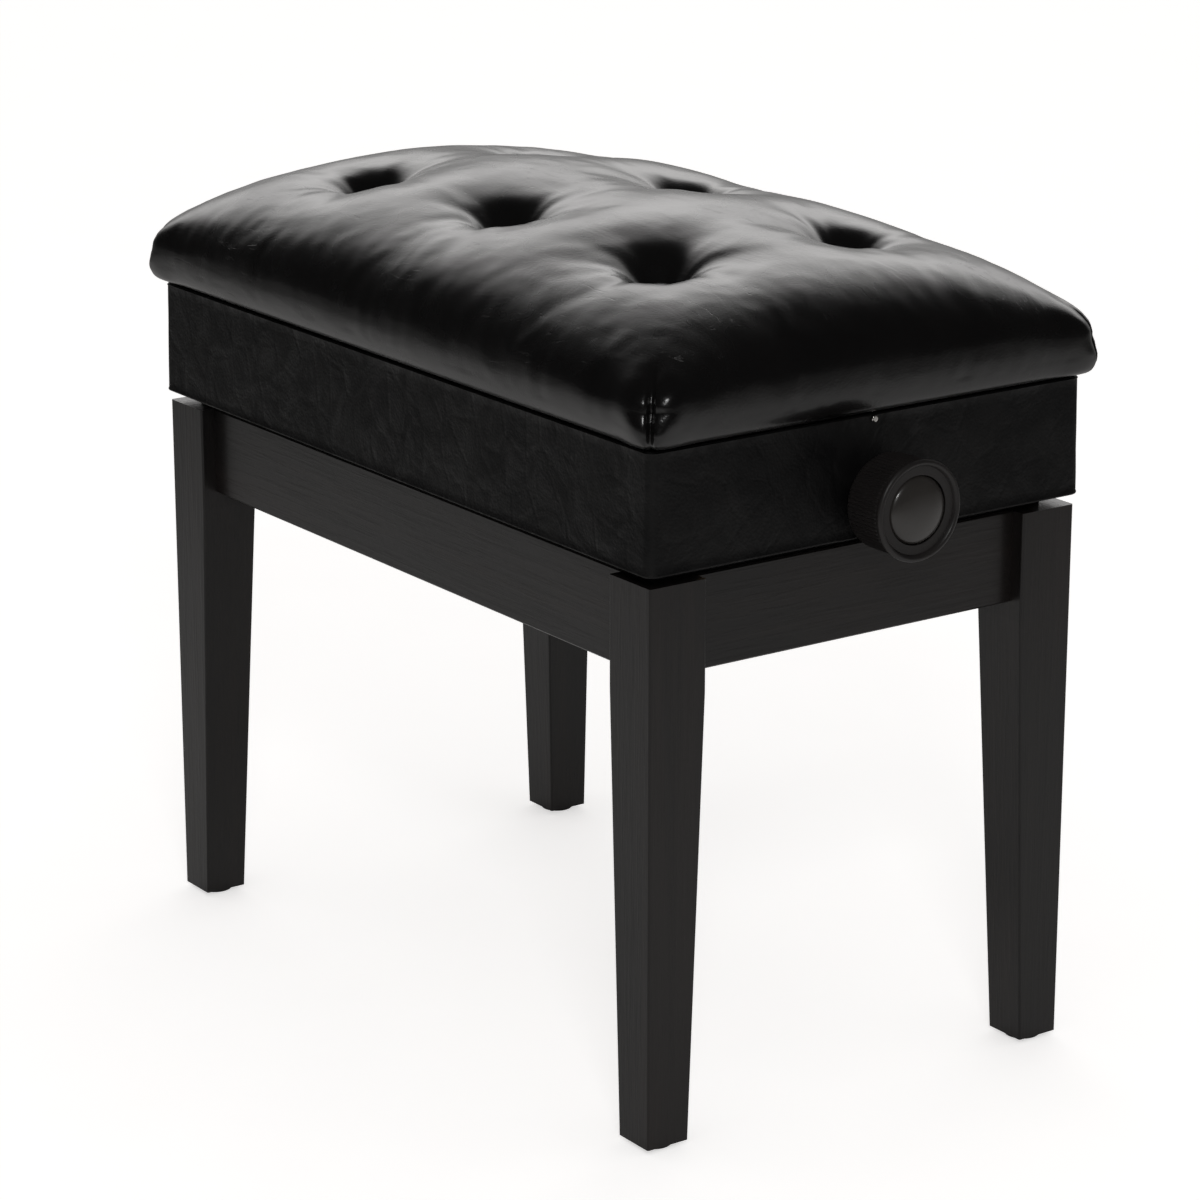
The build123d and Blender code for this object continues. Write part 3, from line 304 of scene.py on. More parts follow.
# ---- Foot glides ----
# Dark moulded discs, one nailed under each foot, scuffed where they slide.
glide_plastic = Finish("glide_plastic", roughness=0.55, specular=0.35)
scuffs = glide_plastic.cloud(300.0, 4.0, (1.0, 0.15, 1.0), turn=(0.0, 0.0, 0.7))
glide_plastic.set("Base Color", glide_plastic.tint(scuffs, (0.012, 0.012, 0.013), (0.05, 0.048, 0.046)))
glide_plastic.set("Roughness", scuffs * 0.3 + 0.4)
glide_plastic.relief(scuffs, 0.0001)
dress(glide_plastic.material, "foot_glides")

# ---- Corner fixings ----
# A pressed bracket across each corner, a hanger bolt from the leg through it, and a
# washer and wing nut that draw the leg in. Zinc-plated steel, screwed to the rails.


def zinc(name, tone):
    """Bright zinc plate: faint crystals, hazy patches and a blue-yellow cast."""
    plate = Finish(name, roughness=0.35, metallic=1.0)
    haze = plate.cloud(45.0, 4.0)
    crystals = plate.cells(650.0)
    cast = plate.tint(plate.ramp(haze, 0.35, 0.7), tone, (0.52, 0.50, 0.43))
    plate.set("Base Color", plate.tint(crystals * 0.5, cast, (0.72, 0.74, 0.78)))
    plate.set("Roughness", 0.26 + haze * 0.2 + crystals * 0.1)
    plate.relief(crystals + haze * 0.6, 0.00005)
    return plate.material


zinc_plate = zinc("zinc_steel", (0.60, 0.61, 0.63))
bracket_zinc = zinc("zinc_bracket", (0.50, 0.51, 0.53))
dress(bracket_zinc, "corner_brackets", "bolt_washers", "wing_nuts")


def node_tree_with(name, inputs):
    """An empty geometry tree with named inputs, and its ends."""
    tree = bpy.data.node_groups.new(name, "GeometryNodeTree")
    tree.interface.new_socket("Geometry", in_out="INPUT", socket_type="NodeSocketGeometry")
    for label, kind in inputs:
        tree.interface.new_socket(label, in_out="INPUT", socket_type=kind)
    tree.interface.new_socket("Geometry", in_out="OUTPUT", socket_type="NodeSocketGeometry")
    recipe = Recipe(tree)
    start = recipe.node("NodeGroupInput").outputs
    end = recipe.node("NodeGroupOutput").inputs
    return recipe, start, end


def ended(recipe, shape, material, out):
    """Closes a geometry tree: real meshes in one material."""
    real = recipe.node("GeometryNodeRealizeInstances", None, {0: shape})
    painted = recipe.node(
        "GeometryNodeSetMaterial", None, {"Geometry": real.outputs[0], "Material": material}
    )
    recipe.feed(out, painted.outputs[0])


def grown(name, seed_mesh, tree, values, smooth_below=35.0):
    """Runs a geometry tree on a mesh and returns the plain result as a new piece."""
    holder = bpy.data.objects.new(name + "_seed", seed_mesh)
    bpy.context.scene.collection.objects.link(holder)
    growth = holder.modifiers.new("growth", "NODES")
    growth.node_group = tree
    for item in tree.interface.items_tree:
        if item.in_out == "INPUT" and item.name in values:
            growth[item.identifier] = values[item.name]
    holder.update_tag()
    bpy.context.view_layer.update()
    graph = bpy.context.evaluated_depsgraph_get()
    mesh = bpy.data.meshes.new_from_object(holder.evaluated_get(graph))
    bpy.data.objects.remove(holder)
    mesh.name = name
    mesh.shade_smooth()
    mesh.set_sharp_from_angle(angle=math.radians(smooth_below))
    piece = bpy.data.objects.new(name, mesh)
    bpy.context.scene.collection.objects.link(piece)
    return piece


# Screws are the same pressed pan head with a cross recess, wherever they sit. The
# tree sets one at each point, along the point's direction and turned by chance.
SCREW_RADIUS = 0.002
SCREW_HEAD_RADIUS = 0.004
SCREW_HEAD_THICK = 0.002


def turned(name, profile, segments, material, smooth_below=35.0):
    """A piece turned on a lathe about Z from (radius, height) points."""
    points = []
    faces = []
    rings = []
    for radius, level in profile:
        if radius < 1e-7:
            rings.append([len(points)] * segments)
            points.append((0.0, 0.0, level))
        else:
            rings.append(list(range(len(points), len(points) + segments)))
            for step in range(segments):
                angle = math.tau * step / segments
                points.append((radius * math.cos(angle), radius * math.sin(angle), level))
    for low, high in zip(rings, rings[1:]):
        for step in range(segments):
            after = (step + 1) % segments
            corners = [low[step], low[after], high[after], high[step]]
            face = list(dict.fromkeys(corners))
            if len(face) > 2:
                faces.append(face)
    return as_piece(name, points, faces, material, smooth_below)


def apply_modifiers(piece):
    """The piece's mesh as its modifiers leave it, with no modifier left on it."""
    bpy.context.view_layer.update()
    graph = bpy.context.evaluated_depsgraph_get()
    mesh = bpy.data.meshes.new_from_object(piece.evaluated_get(graph))
    piece.modifiers.clear()
    old = piece.data
    piece.data = mesh
    bpy.data.meshes.remove(old)
    return piece


def one_screw(length):
    """A pan-head wood screw, head up, its seat at the origin."""
    profile = [(0.0, -length)]
    turns = max(4, int(length / 0.0018))
    for turn in range(turns):
        level = -length + length * 0.8 * turn / turns
        core = SCREW_RADIUS * min(1.0, 0.25 + 3.0 * turn / turns)
        profile.append((core * 0.72, level + 0.0004))
        profile.append((core, level + 0.0010))
    profile.append((SCREW_RADIUS, -0.0015))
    profile.append((SCREW_RADIUS, 0.0))
    profile.append((SCREW_HEAD_RADIUS, 0.0))
    profile.append((SCREW_HEAD_RADIUS, SCREW_HEAD_THICK * 0.35))
    for step in range(1, 6):
        angle = math.radians(90.0 * step / 5)
        radius = SCREW_HEAD_RADIUS * (0.45 + 0.55 * math.cos(angle))
        level = SCREW_HEAD_THICK * (0.35 + 0.65 * math.sin(angle))
        profile.append((radius if step < 5 else SCREW_HEAD_RADIUS * 0.45, level))
    profile.append((0.0, SCREW_HEAD_THICK))
    screw = turned("screw_pattern", profile, 20, zinc_plate)
    recess = bmesh.new()
    for turn in (0.0, 90.0):
        size = (SCREW_HEAD_RADIUS * 1.05, SCREW_HEAD_RADIUS * 0.26, SCREW_HEAD_THICK * 1.6)
        place = Matrix.Translation((0.0, 0.0, SCREW_HEAD_THICK * 1.25))
        place = place @ Matrix.Rotation(math.radians(turn), 4, "Z") @ Matrix.Diagonal((*size, 1.0))
        bmesh.ops.create_cube(recess, size=1.0, matrix=place)
    cutter_mesh = bpy.data.meshes.new("screw_recess")
    recess.to_mesh(cutter_mesh)
    recess.free()
    cutter = bpy.data.objects.new("screw_recess", cutter_mesh)
    bpy.context.scene.collection.objects.link(cutter)
    cut = screw.modifiers.new("recess", "BOOLEAN")
    cut.operation = "DIFFERENCE"
    cut.solver = "EXACT"
    cut.use_self = True
    cut.object = cutter
    apply_modifiers(screw)
    bpy.data.objects.remove(cutter)
    return screw


scatter, given, result = node_tree_with(
    "set_at_points",
    [("Pattern", "NodeSocketObject"), ("Finish", "NodeSocketMaterial"), ("Seed", "NodeSocketInt"),
     ("Turn", "NodeSocketFloat")],
)
pattern = scatter.node("GeometryNodeObjectInfo", None, {"Object": given["Pattern"]})
direction = scatter.node(
    "GeometryNodeInputNamedAttribute", {"data_type": "FLOAT_VECTOR"}, {"Name": "direction"}
)
aligned = scatter.node(
    "FunctionNodeAlignRotationToVector", {"axis": "Z"}, {"Vector": direction.outputs[0]}
)
chance = scatter.node(
    "FunctionNodeRandomValue", {"data_type": "FLOAT"}, {"Seed": given["Seed"], 3: given["Turn"]}
)
spin = scatter.node("ShaderNodeCombineXYZ", None, {"Z": chance.outputs[1]})
facing_turn = scatter.node(
    "FunctionNodeRotateRotation",
    {"rotation_space": "LOCAL"},
    {"Rotation": aligned.outputs[0], "Rotate By": spin.outputs[0]},
)
placed = scatter.node(
    "GeometryNodeInstanceOnPoints",
    None,
    {
        "Points": given["Geometry"],
        "Instance": pattern.outputs["Geometry"],
        "Rotation": facing_turn.outputs[0],
    },
)
ended(scatter, placed.outputs[0], given["Finish"], result[0])


def set_at(name, pattern_piece, places, material, seed, turn=math.tau):
    """One piece made of a pattern repeated at (point, direction) places."""
    seed_mesh = bpy.data.meshes.new(name)
    seed_mesh.from_pydata([point for point, _ in places], [], [])
    pointing = seed_mesh.attributes.new("direction", "FLOAT_VECTOR", "POINT")
    for entry, (_, direction_out) in zip(pointing.data, places):
        entry.vector = direction_out
    values = {"Pattern": pattern_piece, "Finish": material, "Seed": seed, "Turn": turn}
    return grown(name, seed_mesh, scatter.tree, values)


def finished(piece, body, slot, *replaced):
    """Fixes a piece to its body and hides what it stands for. The name of its finish, slot, is not used."""
    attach(piece, body)
    if replaced:
        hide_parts(*replaced)
    return piece


def loose_parts(name):
    """Centres and sizes of the separate solids of a CAD node."""
    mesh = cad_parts[name].data
    shape = bmesh.new()
    shape.from_mesh(mesh)
    bmesh.ops.remove_doubles(shape, verts=shape.verts, dist=1e-6)
    seen_points = set()
    boxes = []
    for first in shape.verts:
        if first in seen_points:
            continue
        stack = [first]
        seen_points.add(first)
        low = first.co.copy()
        high = first.co.copy()
        while stack:
            point = stack.pop()
            for axis in range(3):
                low[axis] = min(low[axis], point.co[axis])
                high[axis] = max(high[axis], point.co[axis])
            for edge in point.link_edges:
                other = edge.other_vert(point)
                if other not in seen_points:
                    seen_points.add(other)
                    stack.append(other)
        boxes.append((low, high))
    shape.free()
    return boxes


def screw_places(name):
    """Seat point and outward direction of each screw in a CAD node, and their length."""
    places = []
    longest = 0.0
    for low, high in loose_parts(name):
        size = high - low
        middle = (low + high) / 2
        along = max(range(3), key=lambda axis: size[axis])
        length = size[along] - SCREW_HEAD_THICK
        longest = max(longest, length)
        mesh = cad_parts[name].data
        reach = SCREW_HEAD_RADIUS * 0.75
        wide = [0, 0]
        for point in mesh.vertices:
            if all(low[a] - 1e-6 <= point.co[a] <= high[a] + 1e-6 for a in range(3)):
                aside = [a for a in range(3) if a != along]
                out = max(abs(point.co[a] - middle[a]) for a in aside)
                if out > reach:
                    wide[int(point.co[along] > middle[along])] += 1
        sign = 1.0 if wide[1] > wide[0] else -1.0
        seat = middle.copy()
        seat[along] = (high[along] if sign > 0 else low[along]) - sign * SCREW_HEAD_THICK
        outward_way = Vector((0.0, 0.0, 0.0))
        outward_way[along] = sign
        places.append((seat, outward_way, length))
    return places


def screws_for(name, body, seed):
    """Detailed screws in the places of a CAD node's plain ones."""
    places = screw_places(name)
    lengths = sorted({round(length, 5) for _, _, length in places})
    pieces = []
    for number, length in enumerate(lengths):
        pattern_piece = one_screw(length)
        chosen = [(tuple(seat), tuple(way)) for seat, way, long in places if abs(long - length) < 1e-4]
        piece = set_at(f"{name}_set_{number}", pattern_piece, chosen, zinc_plate, seed + number)
        bpy.data.objects.remove(pattern_piece)
        finished(piece, body, "zinc_steel", name)
        pieces.append(piece)
    return pieces


screws_for("bracket_screws", "leg_frame", 3)

# The thread is a ridge swept along a helix round a plain core. The same tree makes
# the hanger bolts here and the lift's spindle further on.
threading, given, result = node_tree_with(
    "threaded_rod",
    [("Radius", "NodeSocketFloat"), ("Pitch", "NodeSocketFloat"), ("Length", "NodeSocketFloat"),
     ("Finish", "NodeSocketMaterial")],
)
depth = Amount(threading, given["Pitch"]) * 0.32
core_radius = Amount(threading, given["Radius"]) - depth
turns = threading.amount(
    threading.node(
        "ShaderNodeMath", {"operation": "DIVIDE"}, {0: given["Length"], 1: given["Pitch"]}
    ).outputs[0]
)
helix = threading.node(
    "GeometryNodeCurveSpiral",
    None,
    {"Resolution": 18, "Rotations": turns, "Start Radius": core_radius, "End Radius": core_radius,
     "Height": given["Length"]},
)
level_helix = threading.node("GeometryNodeSetCurveNormal", {"mode": "Z_UP"}, {"Curve": helix.outputs[0]})
ridge = threading.node(
    "GeometryNodeCurvePrimitiveCircle", {"mode": "RADIUS"}, {"Resolution": 4, "Radius": depth}
)
sweep = threading.node(
    "GeometryNodeCurveToMesh",
    None,
    {"Curve": level_helix.outputs[0], "Profile Curve": ridge.outputs[0], "Fill Caps": True},
)
rod = threading.node(
    "GeometryNodeMeshCylinder",
    None,
    {"Vertices": 24, "Radius": core_radius, "Depth": given["Length"]},
)
half_length = Amount(threading, given["Length"]) * 0.5
lift_rod = threading.node("ShaderNodeCombineXYZ", None, {"Z": half_length})
raised_rod = threading.node(
    "GeometryNodeTransform", None, {"Geometry": rod.outputs[0], "Translation": lift_rod.outputs[0]}
)
joined = threading.node("GeometryNodeJoinGeometry", None, {0: raised_rod.outputs[0]})
threading.tree.links.new(sweep.outputs[0], joined.inputs[0])
ended(threading, joined.outputs[0], given["Finish"], result[0])


def threaded_rod(name, radius, pitch, length, material):
    """A threaded rod along +Z from the origin."""
    values = {"Radius": radius, "Pitch": pitch, "Length": length, "Finish": material}
    return grown(name, bpy.data.meshes.new(name), threading.tree, values, 30.0)


def joined_piece(name, pieces):
    """Several loose objects made one piece."""
    shape = bmesh.new()
    materials = []
    for piece in pieces:
        mesh = piece.data
        mesh.transform(piece.matrix_world)
        for material in mesh.materials:
            if material not in materials:
                materials.append(material)
        remap = [materials.index(material) for material in mesh.materials]
        start = len(shape.faces)
        shape.from_mesh(mesh)
        shape.faces.ensure_lookup_table()
        for face in shape.faces[start:]:
            face.material_index = remap[face.material_index] if remap else 0
    whole = bpy.data.meshes.new(name)
    shape.to_mesh(whole)
    shape.free()
    for material in materials:
        whole.materials.append(material)
    for piece in pieces:
        bpy.data.objects.remove(piece)
    made = bpy.data.objects.new(name, whole)
    bpy.context.scene.collection.objects.link(made)
    return made


HANGER_RADIUS = 0.004
HANGER_PITCH = 0.00125
bolts = []
for low, high in loose_parts("hanger_bolts"):
    middle = (low + high) / 2
    inwards = Vector((-math.copysign(1.0, middle.x), -math.copysign(1.0, middle.y), 0.0)).normalized()
    run = (high.x - low.x - HANGER_RADIUS * math.sqrt(2.0)) * math.sqrt(2.0)
    bolt = threaded_rod("hanger_bolt", HANGER_RADIUS, HANGER_PITCH, run, zinc_plate)
    turn = inwards.to_track_quat("Z", "Y").to_matrix().to_4x4()
    bolt.data.transform(Matrix.Translation(middle - inwards * run / 2) @ turn)
    bolts.append(bolt)
hangers = joined_piece("hanger_bolts_threaded", bolts)
finished(hangers, "leg_frame", "zinc_steel", "hanger_bolts")

# ---- Base of the lift ----
# Two folded angles on the long rails and a plate across each end, in black powder
# coat. Bronze bushes carry the spindle and riveted pins carry the arms.


def powder_coat(name):
    """Black powder coat: a fine pebbled skin."""
    coat = Finish(name, roughness=0.45, specular=0.4)
    pebble = coat.cloud(900.0, 2.0)
    patch = coat.cloud(25.0, 3.0)
    coat.set("Base Color", coat.tint(patch, (0.012, 0.012, 0.013), (0.022, 0.022, 0.023)))
    coat.set("Roughness", patch * 0.12 + pebble * 0.1 + 0.36)
    coat.relief(pebble + patch * 0.3, 0.00009)
    return coat.material


black_steel = powder_coat("black_steel")
dress(black_steel, "base_rail_front", "base_rail_back", "base_end_left", "base_end_right")

bronze = Finish("bronze", roughness=0.3, metallic=1.0)
oil = bronze.cloud(160.0, 4.0)
bronze.set("Base Color", bronze.tint(oil, (0.38, 0.21, 0.08), (0.62, 0.40, 0.18)))
bronze.set("Roughness", oil * 0.25 + 0.2)
bronze.relief(bronze.cloud(1200.0, 2.0), 0.00003)
dress(bronze.material, "spindle_bushes")

bright_steel = Finish("bright_steel", roughness=0.25, metallic=1.0)
drawn = bright_steel.cloud(900.0, 3.0, (1.0, 0.04, 1.0))
film = bright_steel.cloud(70.0, 4.0)
bright_steel.set("Base Color", bright_steel.tint(film, (0.42, 0.42, 0.43), (0.60, 0.60, 0.61)))
bright_steel.set("Roughness", drawn * 0.18 + film * 0.12 + 0.14)
bright_steel.relief(drawn, 0.00003)
dress(bright_steel.material, "lower_pivot_pins", "mid_pivot_pins", "slide_pins", "cross_shafts",
      "top_pivot_shaft")
screws_for("base_screws", "leg_frame", 11)

# ---- Scissor arms, rollers and crosshead ----
# Flat steel bars in the same powder coat. Nylon rollers run in the lift rails, and the
# steel crosshead, which the spindle draws along, is held by spring rings.
dress(black_steel, "outer_arm_front", "outer_arm_back", "inner_arm_front", "inner_arm_back")
nylon = Finish("nylon", roughness=0.4, specular=0.45)
grease = nylon.cloud(120.0, 4.0)
nylon.set("Base Color", nylon.tint(grease, (0.62, 0.60, 0.55), (0.45, 0.42, 0.36)))
nylon.set("Roughness", grease * 0.3 + 0.28)
nylon.relief(nylon.cloud(700.0, 2.0), 0.00004)
dress(nylon.material, "slide_rollers")
dress(zinc_plate, "crosshead_nut", "cross_shaft_clips", "top_shaft_clips", "thrust_collars",
      "knob_set_screws")

# ---- Spindle ----
# A bright threaded rod from knob to knob, with thrust collars inside the end plates.
SPINDLE_PITCH = 0.003
low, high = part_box("spindle")
spindle = threaded_rod(
    "spindle_threaded", (high.z - low.z) / 2, SPINDLE_PITCH, high.x - low.x, bright_steel.material
)
along_x = Matrix.Rotation(math.radians(90.0), 4, "Y")
spindle.data.transform(Matrix.Translation((low.x, 0.0, (low.z + high.z) / 2)) @ along_x)
finished(spindle, "lift_spindle", "bright_steel", "spindle")

# ---- Knobs ----
# Moulded black hand knobs: a hub with the set screw, a finely ribbed grip, a raised
# front rim and a groove. A domed satin cap is snapped into the middle.
knob_plastic = Finish("knob_plastic", roughness=0.38, specular=0.45)
mould = knob_plastic.cloud(1100.0, 2.0)
wear = knob_plastic.cloud(60.0, 4.0)
knob_plastic.set("Base Color", knob_plastic.tint(wear, (0.011, 0.010, 0.010), (0.022, 0.019, 0.018)))
knob_plastic.set("Roughness", wear * 0.14 + mould * 0.1 + 0.28)
knob_plastic.relief(mould + wear * 0.4, 0.00005)
HUB_RADIUS = 0.013
HUB_LENGTH = 0.008
RIM_LENGTH = 0.0042
GRIP_RIBS = 72
RIB_DEPTH = 0.0009
RIB_SHAPE = (1.0, 0.62, 0.0, 0.62)
SPINDLE_BORE = (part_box("spindle")[1].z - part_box("spindle")[0].z) / 2


def ribbed_knob(name, side):
    """A hand knob with its bore, its ribs cut into the grip, and a seat for the cap."""
    low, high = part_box(name)
    radius = (high.z - low.z) / 2
    back = min(abs(low.x), abs(high.x))
    front = max(abs(low.x), abs(high.x))
    grip = back + HUB_LENGTH
    cap_low, cap_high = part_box(name.replace("knob", "knob_cap"))
    cap_radius = (cap_high.z - cap_low.z) / 2
    cap_back = min(abs(cap_low.x), abs(cap_high.x))
    bore = SPINDLE_BORE
    rim = front - RIM_LENGTH
    # radius, place along the knob, and how much of the rib each ring takes
    rings = [
        (bore, back, 0.0), (HUB_RADIUS - 0.0005, back, 0.0), (HUB_RADIUS, back + 0.0005, 0.0),
        (HUB_RADIUS, grip, 0.0), (radius - 0.0060, grip, 0.0), (radius - 0.0030, grip + 0.0006, 0.0),
        (radius - 0.0018, grip + 0.0018, 0.6), (radius - 0.0014, grip + 0.0034, 1.0),
        (radius - 0.0012, rim - 0.0030, 1.0),
        (radius - 0.0013, rim - 0.0018, 0.6), (radius - 0.0020, rim - 0.0010, 0.0),
        (radius - 0.0016, rim, 0.0), (radius - 0.0006, rim + 0.0006, 0.0),
        (radius, rim + 0.0014, 0.0), (radius, front - 0.0014, 0.0),
        (radius - 0.0004, front - 0.0006, 0.0), (radius - 0.0013, front, 0.0),
        (radius - 0.0024, front, 0.0), (radius - 0.0031, front - 0.0005, 0.0),
        (radius - 0.0036, front - 0.0013, 0.0), (radius - 0.0041, front - 0.0024, 0.0),
        (cap_radius + 0.0003, front - 0.0026, 0.0), (cap_radius + 0.0002, cap_back, 0.0),
        (bore, cap_back, 0.0),
    ]
    count = GRIP_RIBS * len(RIB_SHAPE)
    points = []
    for out, place, share in rings:
        for step in range(count):
            angle = math.tau * step / count
            rib = share * RIB_DEPTH * RIB_SHAPE[step % 4]
            points.append(((out - rib) * math.cos(angle), (out - rib) * math.sin(angle), place))
    faces = []
    for ring_now in range(len(rings)):
        ring_next = (ring_now + 1) % len(rings)
        for step in range(count):
            after = (step + 1) % count
            low_edge = (ring_now * count + step, ring_now * count + after)
            faces.append((*low_edge, ring_next * count + after, ring_next * count + step))
    knob = as_piece(name + "_ribbed", points, faces, knob_plastic.material, 50.0)
    sideways = Matrix.Rotation(math.radians(90.0 * side), 4, "Y")
    knob.data.transform(Matrix.Translation((0.0, 0.0, (low.z + high.z) / 2)) @ sideways)
    finished(knob, "lift_spindle", "knob_plastic", name)


ribbed_knob("knob_right", 1.0)
ribbed_knob("knob_left", -1.0)


cap_plastic = Finish("cap_plastic", roughness=0.3, specular=0.5, coat=0.5, coat_roughness=0.12)
satin = cap_plastic.cloud(1500.0, 2.0)
smear = cap_plastic.cloud(50.0, 4.0)
cap_plastic.set("Base Color", cap_plastic.tint(smear, (0.022, 0.020, 0.018), (0.034, 0.030, 0.027)))
cap_plastic.set("Roughness", smear * 0.1 + satin * 0.06 + 0.26)
cap_plastic.relief(satin, 0.00003)
CAP_DOME = 0.0048
for side, name in ((1.0, "knob_cap_right"), (-1.0, "knob_cap_left")):
    low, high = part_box(name)
    radius = (high.z - low.z) / 2
    seat = min(abs(low.x), abs(high.x))
    front = max(abs(low.x), abs(high.x))
    profile = [(0.0, seat), (radius - 0.0006, seat), (radius - 0.0002, seat + 0.0006)]
    profile.append((radius, front - CAP_DOME - 0.0006))
    for step in range(13):
        angle = math.radians(90.0 * step / 12)
        out = radius * 0.90 * math.cos(angle) + radius * 0.07
        profile.append((min(out, radius - 0.0004) if step < 12 else 0.0,
                        front - CAP_DOME + CAP_DOME * math.sin(angle) ** 1.1))
    cap = turned("cap", profile, 72, cap_plastic.material, 50.0)
    cap.name = name + "_domed"
    sideways = Matrix.Rotation(math.radians(90.0 * side), 4, "Y")
    cap.data.transform(Matrix.Translation((0.0, 0.0, (low.z + high.z) / 2)) @ sideways)
    finished(cap, "lift_spindle", "cap_plastic", name)

# ---- Upper frame of the lift ----
# Two slotted angles and two straps screwed up under the seat board, and the shaft
# that the inner arms' upper ends turn on.
dress(black_steel, "lift_rail_front", "lift_rail_back", "lift_cross_straps")
screws_for("lift_screws", "seat", 23)

# ---- Box and seat board ----
# Plywood panels with softwood blocks in the corners, and a plywood board on top. The
# plies show on the cut edges, except near the rim under the cushion, which carries painted shade.


# how far in from the box's outer faces the painted shade on the rim reaches
PAINTED_SHADE_IN = 0.014


def plywood(name, axis, face_stretch):
    """Plywood laid up along one axis: veneer on its faces, plies on its edges."""
    wood = Finish(name, roughness=0.6, specular=0.3)
    depth_in = wood.node("ShaderNodeSeparateXYZ", None, {0: wood.place}).outputs[axis]
    wander = wood.cloud(14.0, 2.0)
    layer = wood.amount(depth_in) * 2600.0 + wander * 1.2
    wave = wood.amount(wood.node("ShaderNodeMath", {"operation": "SINE"}, {0: layer}).outputs[0])
    plies = wood.ramp(wave, -0.35, 0.35)
    veneer = wood.cloud(120.0, 5.0, face_stretch, roughness=0.65, warp=0.6)
    figure = wood.cloud(16.0, 3.0, face_stretch, warp=1.2)
    light = wood.tint(veneer, (0.47, 0.32, 0.18), (0.62, 0.46, 0.29))
    dark = wood.tint(veneer, (0.24, 0.14, 0.07), (0.36, 0.23, 0.13))
    laid = wood.tint(plies, light, dark)
    raw = wood.tint(wood.ramp(figure, 0.4, 0.75) * 0.5, laid, (0.40, 0.25, 0.13))
    # painted shade: near the rim under the cushion the wood is painted near black, so that the gap reads as
    # shadow and no pale wood shows in it
    spot = wood.node("ShaderNodeSeparateXYZ", None, {0: wood.place}).outputs
    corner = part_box("box_leather")[1]
    reach_x = wood.amount(wood.node("ShaderNodeMath", {"operation": "ABSOLUTE"}, {0: spot[0]}).outputs[0])
    reach_y = wood.amount(wood.node("ShaderNodeMath", {"operation": "ABSOLUTE"}, {0: spot[1]}).outputs[0])
    inside = wood.ramp(reach_x - corner.x, -PAINTED_SHADE_IN, -PAINTED_SHADE_IN - 0.001)
    inside = inside * wood.ramp(reach_y - corner.y, -PAINTED_SHADE_IN, -PAINTED_SHADE_IN - 0.001)
    upper = wood.ramp(wood.amount(spot[2]) - corner.z, -0.004, -0.003)
    wood.set("Base Color", wood.tint((1.0 - inside) * upper, raw, (0.004, 0.004, 0.004)))
    wood.set("Roughness", veneer * 0.25 + 0.5)
    wood.relief(veneer * 0.7 + plies * 0.5, 0.00025)
    return wood.material


dress(plywood("plywood_long", 1, (0.06, 1.0, 1.0)), "box_panel_front", "box_panel_back")
dress(plywood("plywood_short", 0, (1.0, 0.06, 1.0)), "box_panel_left", "box_panel_right")
dress(plywood("plywood_board", 2, (0.06, 1.0, 1.0)), "seat_board")

block_wood = Finish("block_wood", roughness=0.65, specular=0.3)
rings = block_wood.cloud(150.0, 4.0, (1.0, 1.0, 0.08), warp=0.8)
block_wood.set("Base Color", block_wood.tint(rings, (0.62, 0.45, 0.26), (0.42, 0.27, 0.13)))
block_wood.set("Roughness", rings * 0.2 + 0.55)
block_wood.relief(rings, 0.0002)
dress(block_wood.material, "corner_blocks")
screws_for("block_screws", "seat", 31)

# ---- Box leather ----
# One strip of thin matt leather round the box. It is drawn over a soft lower edge,
# turned under the panels and glued up inside, and it lines the slot at each end. Its
# upper edge is turned in over the panels.
SKIN = 0.001
HEM_ROLL = 0.0026
WRAP_DEPTH = 0.014
HEM_INSIDE = 0.012
SLOT_HALF = 0.010
SLOT_FILLET = 0.0022
BOX_CORNER = 0.006
TOP_ROLL = 0.0015
TOP_FLAP = 0.0048
box_low, box_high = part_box("box_leather")
BOX_X = box_high.x
BOX_Y = box_high.y
SLOT_TOP = (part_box("spindle")[0].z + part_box("spindle")[1].z) / 2

matt_leather = Finish("black_leather_matt", roughness=0.45, specular=0.25)
warm = matt_leather.cloud(26.0, 4.0, warp=1.0)
pebble = matt_leather.cells(520.0, "F1")
crinkle = matt_leather.cells(48.0, "DISTANCE_TO_EDGE", (1.0, 1.0, 0.7), (0.4, 0.3, 0.6))
creased = matt_leather.cloud(30.0, 6.0, roughness=0.62, warp=2.2)
matt_leather.set(
    "Base Color",
    matt_leather.tint(matt_leather.ramp(warm, 0.35, 0.7), (0.0030, 0.0030, 0.0032), (0.0068, 0.0066, 0.0066)),
)
matt_leather.set("Roughness", 0.42 + matt_leather.ramp(creased, 0.3, 0.7) * 0.22)
matt_leather.relief(
    pebble * 0.25 + matt_leather.ramp(crinkle, 0.0, 0.10) * 0.25 + creased * 1.2, 0.00070, 0.75
)


